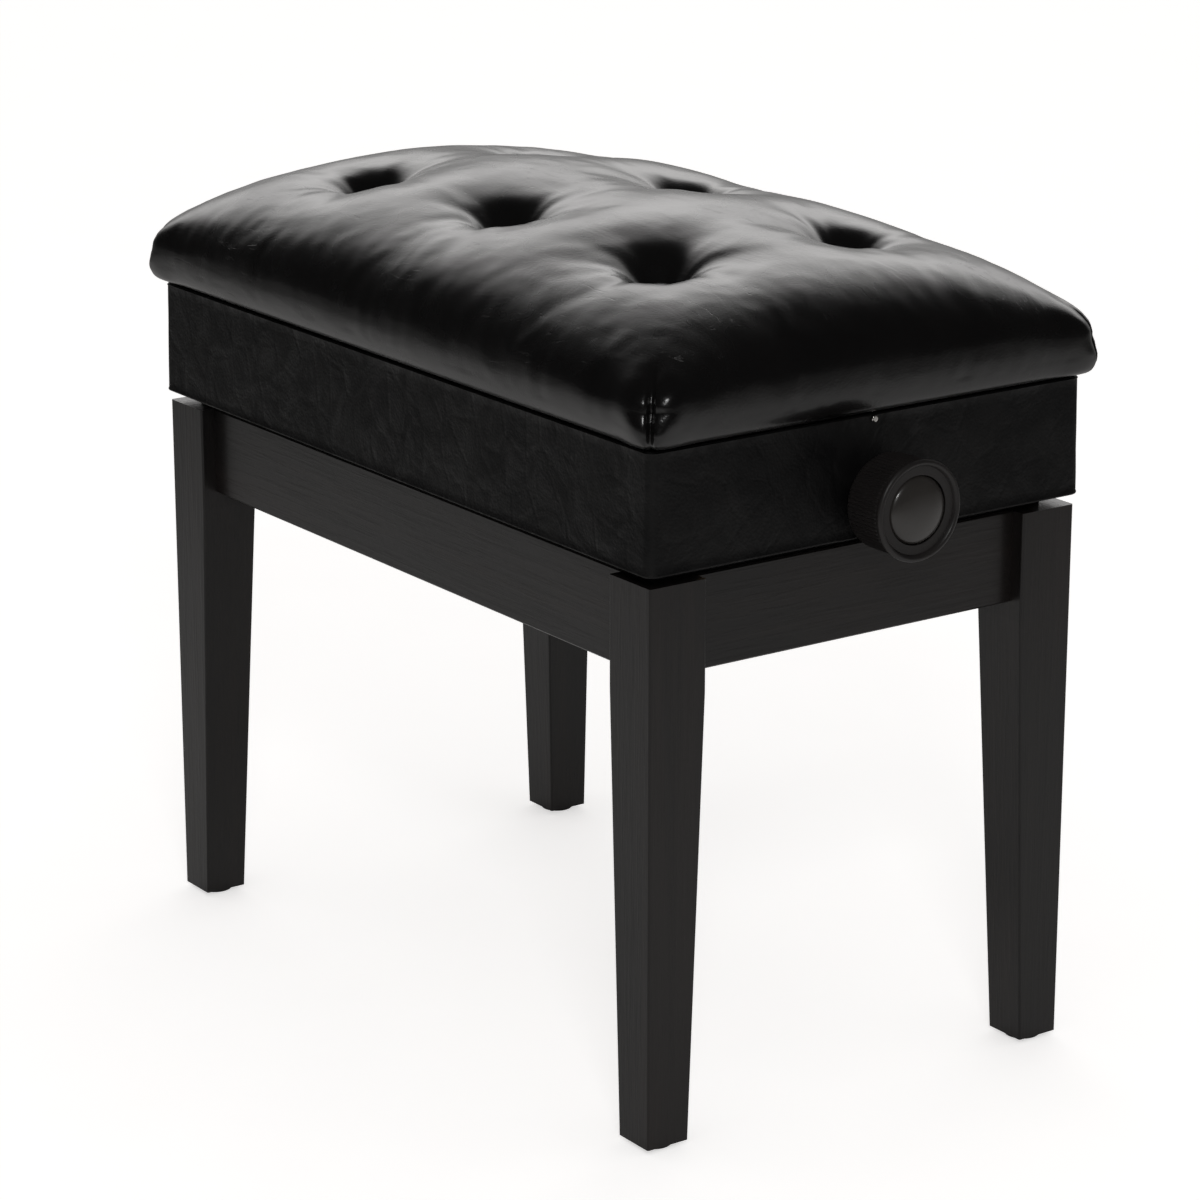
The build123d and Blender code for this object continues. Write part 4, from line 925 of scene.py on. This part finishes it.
def hem_path():
    """Stations round the box's lower edge.

    Each has its point, the way outwards, the way off the leather, the hem's depth and
    the place above it on the top edge.
    """
    stations = []

    def straight(start, end, out, count):
        for step in range(count):
            share = step / count
            x = start[0] + (end[0] - start[0]) * share
            y = start[1] + (end[1] - start[1]) * share
            stations.append(((x, y, box_low.z), out, (0.0, 0.0, -1.0), HEM_INSIDE, (x, y)))

    def corner(centre, start_angle):
        for step in range(8):
            angle = math.radians(start_angle + 90.0 * step / 8)
            out = (math.cos(angle), math.sin(angle), 0.0)
            x = centre[0] + BOX_CORNER * out[0]
            y = centre[1] + BOX_CORNER * out[1]
            stations.append(((x, y, box_low.z), out, (0.0, 0.0, -1.0), HEM_INSIDE, (x, y)))

    def end_with_slot(x, way):
        out = (math.copysign(1.0, x), 0.0, 0.0)
        reach = BOX_Y - BOX_CORNER
        near = SLOT_HALF + SLOT_FILLET
        fan = 0.034
        straight((x, -way * reach), (x, -way * fan), out, 22)
        shallow = SLOT_FILLET * 0.9
        rows = []
        for step in range(6):
            share = step / 6
            depth_now = HEM_INSIDE + (shallow - HEM_INSIDE) * min(1.0, share * 2.0)
            rows.append((-(fan - (fan - near) * share), box_low.z, (0.0, -1.0), depth_now))
        for step in range(5):
            angle = math.radians(90.0 * step / 4)
            spread = (math.sin(angle), -math.cos(angle))
            y = -near + SLOT_FILLET * spread[0]
            z = box_low.z + SLOT_FILLET + SLOT_FILLET * spread[1]
            rows.append((y, z, spread, shallow))
        for step in range(1, 6):
            z = box_low.z + SLOT_FILLET + (SLOT_TOP - box_low.z - SLOT_FILLET) * step / 6
            rows.append((-SLOT_HALF, z, (1.0, 0.0), shallow))
        for step in range(0, 9):
            angle = math.radians(180.0 - 90.0 * step / 8)
            spread = (-math.cos(angle), -math.sin(angle))
            rows.append((-spread[0] * SLOT_HALF, SLOT_TOP - spread[1] * SLOT_HALF, spread, shallow))
        whole = list(rows)
        for y, z, (side, down), depth_now in reversed(rows[:-1]):
            whole.append((-y, z, (-side, down), depth_now))
        last = len(whole) - 1
        for number, (y, z, (side, down), depth_now) in enumerate(whole):
            top_y = -fan + 2 * fan * number / last
            stations.append(
                ((x, way * y, z), out, (0.0, way * side, down), depth_now, (x, way * top_y))
            )
        straight((x, way * (fan + 0.004)), (x, way * reach), out, 22)

    inset_x = BOX_X - BOX_CORNER
    inset_y = BOX_Y - BOX_CORNER
    end_with_slot(BOX_X, 1.0)
    corner((inset_x, inset_y), 0.0)
    straight((inset_x, BOX_Y), (-inset_x, BOX_Y), (0.0, 1.0, 0.0), 90)
    corner((-inset_x, inset_y), 90.0)
    end_with_slot(-BOX_X, -1.0)
    corner((-inset_x, -inset_y), 180.0)
    straight((-inset_x, -BOX_Y), (inset_x, -BOX_Y), (0.0, -1.0, 0.0), 90)
    corner((inset_x, -inset_y), 270.0)
    return stations


def box_skin():
    """The leather strip as a grid of stations by rows, given its thickness at the end."""
    points = []
    stations = hem_path()
    limit_x = BOX_X - WRAP_DEPTH
    limit_y = BOX_Y - WRAP_DEPTH
    wall_rows = 14
    for edge, out, off, depth_now, top in stations:
        edge = Vector(edge)
        out = Vector(out)
        off = Vector(off)
        roll = min(HEM_ROLL, depth_now)
        column = []

        def inner(point):
            return Vector(
                (max(-limit_x, min(limit_x, point.x)), max(-limit_y, min(limit_y, point.y)), point.z)
            )

        column.append(inner(edge - out * WRAP_DEPTH * 1.3 - off * depth_now))
        column.append(inner(edge - out * WRAP_DEPTH * 1.3 - off * depth_now * 0.5))
        column.append(inner(edge - out * WRAP_DEPTH * 1.3 - off * 0.0012))
        column.append(inner(edge - out * (WRAP_DEPTH - 0.0012)))
        column.append(edge - out * WRAP_DEPTH * 0.55)
        for step in range(7):
            angle = math.radians(90.0 * step / 6)
            bulge = 0.0011 * math.sin(math.radians(180.0 * step / 6)) + 0.0006 * step / 6
            column.append(
                edge - out * (roll * (1.0 - math.sin(angle)) - bulge) - off * roll * (1.0 - math.cos(angle))
            )
        wall_start = edge - off * roll + out * 0.0006
        wall_end = Vector((top[0], top[1], box_high.z - TOP_ROLL))
        for step in range(1, wall_rows + 1):
            share = step / wall_rows
            point = wall_start.lerp(wall_end, share)
            pucker = noise.noise(Vector((point.x * 16.0, point.y * 16.0, point.z * 30.0)))
            ripple = noise.noise(Vector((point.x * 55.0 + 7.0, point.y * 55.0, point.z * 40.0)))
            puff = 0.00045 * pucker + 0.00018 * ripple
            fade = math.sin(math.pi * min(1.0, share * 1.15))
            point += out * (puff * fade - 0.0006 * share)
            column.append(point)
        rim = Vector((top[0], top[1], box_high.z))
        for step in range(1, 4):
            angle = math.radians(90.0 * step / 3)
            drop = Vector((0.0, 0.0, -TOP_ROLL * (1.0 - math.sin(angle))))
            column.append(rim - out * TOP_ROLL * (1.0 - math.cos(angle)) + drop)
        column.append(rim - out * TOP_FLAP * 0.5 + Vector((0.0, 0.0, 0.0004)))
        column.append(rim - out * TOP_FLAP + Vector((0.0, 0.0, 0.0004)))
        points.append(column)
    rows = len(points[0])
    flat = [point for column in points for point in column]
    faces = []
    count = len(points)
    for station in range(count):
        after = (station + 1) % count
        for row in range(rows - 1):
            faces.append(
                (station * rows + row, after * rows + row, after * rows + row + 1, station * rows + row + 1)
            )
    skin = as_piece("box_leather_wrapped", flat, faces, matt_leather.material, 60.0)
    thick = skin.modifiers.new("thickness", "SOLIDIFY")
    thick.thickness = SKIN * 0.9
    thick.offset = -1.0
    apply_modifiers(skin)
    return skin


leather_wrap = box_skin()
finished(leather_wrap, "seat", "black_leather", "box_leather")

# ---- Nails at the ends ----
# One small domed nickel nail holds the leather at the middle of each end.
nickel = Finish("nickel", roughness=0.12, metallic=1.0)
tarnish = nickel.cloud(500.0, 4.0)
nickel.set("Base Color", nickel.tint(tarnish, (0.62, 0.60, 0.57), (0.82, 0.80, 0.77)))
nickel.set("Roughness", tarnish * 0.14 + 0.06)
nickel.relief(tarnish, 0.00002)
dress(nickel.material, "box_nails")

# ---- Cushion ----
# Soft foam under a glossy black leather cover with a sewn seam down each corner. Six
# buttons draw it down to the board, and it turns under itself all the way round. The
# cover is blown up as cloth, then its seams and drag lines are added.
SOFT_CROWN = 0.005
cover_low, cover_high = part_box("seat_cover")
HALF_X = cover_high.x
HALF_Y = cover_high.y
CROWN_Z = cover_high.z + SOFT_CROWN
UNDER_Z = cover_low.z
WIDEST_Z = 0.4300
BOARD_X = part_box("seat_board")[1].x
BOARD_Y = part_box("seat_board")[1].y
TUFT_X = 0.152
TUFT_Y = 0.0655
TUFTS = [(column * TUFT_X, row * TUFT_Y) for column in (-1, 0, 1) for row in (-1, 1)]
BUTTON_SEAT_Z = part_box("tuft_buttons")[0].z
COVER_SLACK = 0.0015
CURVE_X = 2.95
CURVE_Y = 2.25
PLAN_CORNER = 0.026
PIT_DEEP = 0.0170
PIT_WIDE = 0.0200
DISH_DEEP = 0.0125
DISH_WIDE = 0.046
FOLD_DEEP = 0.0024
FOLD_AT = 0.020
# how far in from the widest line, and how high above the underside, on the way down
TURN_UNDER = [
    (0.0001, 0.0185), (0.0004, 0.0155), (0.0009, 0.0125), (0.0017, 0.0095), (0.0027, 0.0068),
    (0.0040, 0.0042), (0.0058, 0.0020), (0.0080, 0.0007), (0.0110, 0.0003), (0.0150, 0.0006),
]


def curve_fall(share, power):
    """Height of a soft section, 1 in the middle and 0 at its edge."""
    return max(0.0, 1.0 - abs(share) ** power) ** (1.0 / power)


def spaced(half, power, rise, centres, count):
    """Places along half a section, closer at the tufts and round the edge."""
    steps = 4000
    places = [0.0]
    total = 0.0
    marks = [0.0]
    for step in range(1, steps + 1):
        share = 1.0 - (1.0 - step / steps) ** 2
        place = half * share
        before = places[-1]
        drop = rise * (curve_fall(before / half, power) - curve_fall(place / half, power))
        run = math.hypot(place - before, drop)
        at_tufts = sum(math.exp(-(((place - centre) / 0.022) ** 2)) for centre in centres)
        dense = 1.0 + 1.3 * at_tufts
        dense += 1.4 * math.exp(-(((half - place) / 0.012) ** 2))
        total += run * dense
        places.append(place)
        marks.append(total)
    chosen = []
    index = 0
    for number in range(count + 1):
        target = total * number / count
        while index < steps and marks[index] < target:
            index += 1
        chosen.append(places[index])
    chosen[-1] = half
    return [-place for place in reversed(chosen[1:])] + chosen


def rounded_plan(x, y, half_x, half_y, corner):
    """Moves a point of a rectangle so that the rectangle's corners become round."""
    across = (abs(x) - (half_x - corner)) / corner
    along = (abs(y) - (half_y - corner)) / corner
    if across <= 0.0 or along <= 0.0:
        return x, y
    new_x = half_x - corner + corner * across * math.sqrt(1.0 - along * along / 2.0)
    new_y = half_y - corner + corner * along * math.sqrt(1.0 - across * across / 2.0)
    return math.copysign(new_x, x), math.copysign(new_y, y)


def tuft_pull(x, y, wide=1.0):
    """How far the buttons pull the cover down at a point."""
    pull = 0.0
    for number, (centre_x, centre_y) in enumerate(TUFTS):
        away = math.hypot(x - centre_x, (y - centre_y) * 1.12)
        angle = math.atan2(y - centre_y, x - centre_x)
        pit = PIT_DEEP * math.exp(-((away / (PIT_WIDE * wide)) ** 2.4))
        dish = DISH_DEEP * math.exp(-((away / (DISH_WIDE * wide)) ** 1.5))
        gather = away / FOLD_AT * math.exp(1.0 - away / FOLD_AT)
        folds = noise.noise(Vector((math.cos(angle) * 1.5, math.sin(angle) * 1.5, number * 5.3)))
        folds += 0.5 * noise.noise(Vector((math.cos(angle) * 3.5, math.sin(angle) * 3.5, number * 3.1)))
        pull += pit + dish + FOLD_DEEP * gather * folds
    return pull


def cushion_grid(shrink, count_x, count_y, turn_rows, tuft_wide=1.0):
    """Points and faces of a crowned, buttoned form, open underneath, and its lowest ring."""
    half_x = HALF_X - shrink
    half_y = HALF_Y - shrink
    rise = CROWN_Z - shrink - WIDEST_Z
    xs = spaced(half_x, CURVE_X, rise, (TUFT_X, 0.0), count_x)
    ys = spaced(half_y, CURVE_Y, rise, (TUFT_Y,), count_y)
    points = []
    wide = len(xs)
    deep = len(ys)
    for y in ys:
        for x in xs:
            fall = curve_fall(x / half_x, CURVE_X) * curve_fall(y / half_y, CURVE_Y)
            z = WIDEST_Z + rise * fall - tuft_pull(x, y, tuft_wide)
            plan_x, plan_y = rounded_plan(x, y, half_x, half_y, PLAN_CORNER)
            points.append([plan_x, plan_y, z])
    faces = []
    for row in range(deep - 1):
        for column in range(wide - 1):
            start = row * wide + column
            faces.append((start, start + 1, start + wide + 1, start + wide))
    border = [column for column in range(wide)]
    border += [row * wide + wide - 1 for row in range(1, deep)]
    border += [(deep - 1) * wide + column for column in range(wide - 2, -1, -1)]
    border += [row * wide for row in range(deep - 2, 0, -1)]
    flat = [(xs[number % wide], ys[number // wide]) for number in border]
    last_ring = border
    for inset, level in turn_rows:
        corner = max(0.006, PLAN_CORNER - (WIDEST_Z - level) * 1.2)
        ring_now = []
        for x, y in flat:
            x_in = x / half_x * (half_x - inset)
            y_in = y / half_y * (half_y - inset)
            plan_x, plan_y = rounded_plan(x_in, y_in, half_x - inset, half_y - inset, corner)
            ring_now.append(len(points))
            points.append([plan_x, plan_y, level])
        faces += joined_rings(last_ring, ring_now)
        last_ring = ring_now
    return points, faces, last_ring


def joined_rings(outer, inner):
    """Faces between two rings with the same number of points."""
    faces = []
    for number in range(len(outer)):
        after = (number + 1) % len(outer)
        faces.append((outer[after], outer[number], inner[number], inner[after]))
    return faces


def board_ring(points, outer, inset, gap, level):
    """Adds a ring of points round the board's edge, in line with an outer ring."""
    ring_now = []
    for number in outer:
        x, y, _ = points[number]
        reach = max(abs(x) / (HALF_X - inset), abs(y) / (HALF_Y - inset))
        ring_now.append(len(points))
        points.append([x / reach * (BOARD_X + gap) / (HALF_X - inset),
                       y / reach * (BOARD_Y + gap) / (HALF_Y - inset), level])
    return ring_now


# The foam is cut to the same form, a little smaller, with a rebate for the board.
foam_finish = Finish("foam", roughness=0.9, specular=0.2)
pores = foam_finish.cells(900.0)
foam_finish.set("Base Color", foam_finish.tint(pores, (0.62, 0.52, 0.30), (0.80, 0.72, 0.48)))
foam_finish.set("Roughness", pores * 0.1 + 0.85)
foam_finish.relief(pores, 0.0006)
FOAM_IN = 0.0095
FOAM_TURN = 0.005
FOAM_UNDER = UNDER_Z + 0.0035
BOARD_GAP = 0.0006
BOARD_TOP_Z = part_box("seat_board")[1].z
foam_rows = [(0.001, WIDEST_Z - 0.008), (0.003, WIDEST_Z - 0.014), (FOAM_TURN, FOAM_UNDER)]
points, faces, outer = cushion_grid(FOAM_IN, 36, 26, foam_rows, 1.5)
lower_edge = board_ring(points, outer, FOAM_IN + FOAM_TURN, BOARD_GAP, FOAM_UNDER)
upper_edge = board_ring(points, outer, FOAM_IN + FOAM_TURN, BOARD_GAP, BOARD_TOP_Z + 0.0002)
faces += joined_rings(outer, lower_edge)
faces += joined_rings(lower_edge, upper_edge)
faces.append(tuple(upper_edge))
foam = as_piece("seat_foam_cut", points, faces, foam_finish.material, 60.0)
finished(foam, "seat", "foam", "seat_foam")

cover_leather = Finish(
    "black_leather_gloss", roughness=0.24, specular=0.50, coat=0.25, coat_roughness=0.12
)
tone = cover_leather.cloud(18.0, 4.0, warp=0.8)
pebble = cover_leather.cells(760.0)
streaks = cover_leather.cloud(95.0, 4.0, (0.22, 1.0, 1.0), (0.2, 0.5, 0.6), roughness=0.7, warp=2.5)
crease = cover_leather.cloud(34.0, 5.0, (0.35, 1.0, 1.0), (0.0, 0.0, 0.95), roughness=0.62, warp=1.4)
marks = cover_leather.ramp(cover_leather.cloud(16.0, 3.0), 0.44, 0.62)
cover_leather.set(
    "Base Color", cover_leather.tint(tone, (0.0028, 0.0027, 0.0028), (0.0055, 0.0050, 0.0050))
)
cover_leather.set("Roughness", 0.20 + tone * 0.10 + marks * 0.06)
scratches = cover_leather.ramp(streaks, 0.60, 0.72) * marks
cover_leather.relief(pebble * 0.10 + crease * 0.75 - scratches * 0.30, 0.00050, 0.8)

COVER_GAP = 0.0008
COVER_THICK = 0.0014
last_inset = TURN_UNDER[-1][0]
under_rows = [(inset, UNDER_Z + rise) for inset, rise in TURN_UNDER]
points, faces, outer = cushion_grid(COVER_SLACK, 62, 44, under_rows)
edge_ring = board_ring(points, outer, last_inset, COVER_GAP, UNDER_Z + 0.0008)
tack_ring = []
for number in edge_ring:
    x, y, _ = points[number]
    tack_ring.append(len(points))
    points.append([x, y, UNDER_Z - 0.0012])
for pair in zip(joined_rings(outer, edge_ring), joined_rings(edge_ring, tack_ring)):
    faces += pair
cover = as_piece("seat_cover_tufted", points, faces, cover_leather.material, 70.0)


CLOTH_SHARE = 0.50
CLOTH_LIMIT = 0.004
CLOTH_SMOOTHING = 2
CLOTH_FRAMES = 20
HELD_AT_TUFT = 0.020
HELD_AT_SEAM = 0.012
HELD_UNDER = 0.022


def settle(piece):
    """Blows the cover up as cloth, held at the buttons, the corner seams and the underside."""
    held = piece.vertex_groups.new(name="held")
    start = [point.co.copy() for point in piece.data.vertices]
    for point in piece.data.vertices:
        x, y, z = point.co
        near_tuft = min(math.hypot(x - a, y - b) for a, b in TUFTS)
        seam = math.hypot(HALF_X - 0.006 - abs(x), HALF_Y - 0.006 - abs(y))
        weight = 0.0
        if near_tuft < HELD_AT_TUFT:
            weight = min(1.0, (HELD_AT_TUFT - near_tuft) / 0.007)
        if z < UNDER_Z + HELD_UNDER:
            weight = max(weight, min(1.0, (UNDER_Z + HELD_UNDER - z) / 0.014))
        if seam < HELD_AT_SEAM and z < WIDEST_Z + 0.020:
            weight = max(weight, min(1.0, (HELD_AT_SEAM - seam) / 0.006))
        if weight > 0.0:
            held.add([point.index], weight, "REPLACE")
    cloth = piece.modifiers.new("cloth", "CLOTH")
    cloth.settings.quality = 6
    cloth.settings.mass = 0.35
    cloth.settings.tension_stiffness = 18.0
    cloth.settings.compression_stiffness = 18.0
    cloth.settings.shear_stiffness = 8.0
    cloth.settings.bending_stiffness = 0.15
    cloth.settings.use_pressure = True
    cloth.settings.uniform_pressure_force = 4.0
    cloth.settings.shrink_min = -0.006
    cloth.settings.vertex_group_mass = "held"
    cloth.settings.effector_weights.gravity = 0.0
    cloth.collision_settings.use_collision = False
    cloth.collision_settings.use_self_collision = False
    cloth.point_cache.frame_end = CLOTH_FRAMES
    for number in range(1, CLOTH_FRAMES + 1):
        bpy.context.scene.frame_set(number)
    graph = bpy.context.evaluated_depsgraph_get()
    moved = piece.evaluated_get(graph).data.vertices
    shifts = []
    for first, last in zip(start, [point.co.copy() for point in moved]):
        rise = max(0.0, min(1.0, (first.z - UNDER_Z - 0.006) / 0.034))
        shift = (last - first) * CLOTH_SHARE * rise * rise * (3.0 - 2.0 * rise)
        if shift.length > CLOTH_LIMIT:
            shift *= CLOTH_LIMIT / shift.length
        shifts.append(shift)
    near = [[] for _ in start]
    for edge in piece.data.edges:
        one, other = edge.vertices
        near[one].append(other)
        near[other].append(one)
    for _ in range(CLOTH_SMOOTHING):
        shifts = [
            (shift + sum((shifts[other] for other in around_it), Vector())) / (len(around_it) + 1)
            for shift, around_it in zip(shifts, near)
        ]
    for point, first, shift in zip(piece.data.vertices, start, shifts):
        point.co = first + shift
    piece.modifiers.clear()
    piece.vertex_groups.clear()
    bpy.context.scene.frame_set(1)


settle(cover)
smooth = cover.modifiers.new("smooth", "SUBSURF")
smooth.levels = 1
smooth.render_levels = 1
apply_modifiers(cover)

# The corner seams are sewn in after the cloth has settled: a narrow groove down each
# corner, the leather puffed on both sides of it and gathered in short tucks.
SEAM_IN = 0.0075
SEAM_TOP = UNDER_Z + 0.050
SEAM_DEEP = 0.0030
SEAM_PUFF = 0.0022
SEAM_TUCK = 0.0005
SEAM_REACH = 0.035
for point in cover.data.vertices:
    x, y, z = point.co
    corner_x = math.copysign(HALF_X - SEAM_IN, x)
    corner_y = math.copysign(HALF_Y - SEAM_IN, y)
    off = Vector((x - corner_x, y - corner_y))
    diagonal = Vector((math.copysign(1.0, x), math.copysign(1.0, y))).normalized()
    aside = off.x * diagonal.y - off.y * diagonal.x
    ahead = off.dot(diagonal)
    if ahead < -SEAM_REACH or abs(aside) > 0.06:
        continue
    fade = max(0.0, min(1.0, (SEAM_TOP - z) / 0.016))
    fade *= max(0.0, min(1.0, (ahead + SEAM_REACH) / 0.02))
    groove = -SEAM_DEEP * math.exp(-((aside / 0.0020) ** 2))
    puff = SEAM_PUFF * math.exp(-(((abs(aside) - 0.0110) / 0.0095) ** 2))
    tuck = SEAM_TUCK * noise.noise(Vector((x * 90.0, y * 90.0, z * 260.0)))
    tuck *= math.exp(-((aside / 0.014) ** 2))
    point.co.x += diagonal.x * fade * (groove + puff + tuck)
    point.co.y += diagonal.y * fade * (groove + puff + tuck)

# Long shallow drag lines run from the tufts to the edges and across the sides.
CRINKLE = 0.00032
DRIFT = 0.0003
RUMPLE = 0.00038
cover.data.update()
normals = [entry.vector.copy() for entry in cover.data.vertex_normals]
for point, normal in zip(cover.data.vertices, normals):
    x, y, z = point.co
    if z < UNDER_Z + 0.012:
        continue
    side_share = max(0.0, min(1.0, (CROWN_Z - 0.012 - z) / 0.03))
    crinkle = noise.noise(Vector((x * 95.0, y * 95.0, z * 16.0))) * CRINKLE * side_share
    drift = noise.noise(Vector((x * 26.0 + 3.0, y * 26.0, z * 26.0))) * DRIFT
    rumple = abs(noise.noise(Vector((x * 48.0, y * 62.0, z * 40.0 + 9.0)))) * -RUMPLE
    point.co += normal * (crinkle + drift + rumple)
thick = cover.modifiers.new("thickness", "SOLIDIFY")
thick.thickness = COVER_THICK
thick.offset = -1.0
apply_modifiers(cover)
finished(cover, "seat", "black_leather", "seat_cover")

# ---- Buttons and ties ----
# A leather-covered dome at the floor of each tuft, tied through the board with waxed
# twine to a washer underneath.
low, high = loose_parts("tuft_buttons")[0]
button_radius = (high.x - low.x) / 2
button_height = high.z - low.z
profile = [(0.0, 0.0), (button_radius * 0.9, 0.0), (button_radius, button_height * 0.18)]
for step in range(1, 8):
    angle = math.radians(90.0 * step / 7)
    profile.append((button_radius * math.cos(angle) if step < 7 else 0.0,
                    button_height * (0.25 + 0.75 * math.sin(angle))))
button = turned("button_pattern", profile, 32, cover_leather.material, 60.0)
button_places = [((x, y, BUTTON_SEAT_Z), (0.0, 0.0, 1.0)) for x, y in TUFTS]
buttons = set_at("tuft_buttons_covered", button, button_places, cover_leather.material, 5)
bpy.data.objects.remove(button)
finished(buttons, "seat", "black_leather", "tuft_buttons")

twine = Finish("twine", roughness=0.8, specular=0.25)
strands = twine.cloud(1500.0, 2.0, (1.0, 1.0, 0.3), (0.0, 0.5, 0.0))
twine.set("Base Color", twine.tint(strands, (0.55, 0.47, 0.33), (0.34, 0.28, 0.19)))
twine.set("Roughness", strands * 0.2 + 0.7)
twine.relief(strands, 0.0003)
dress(twine.material, "button_ties")
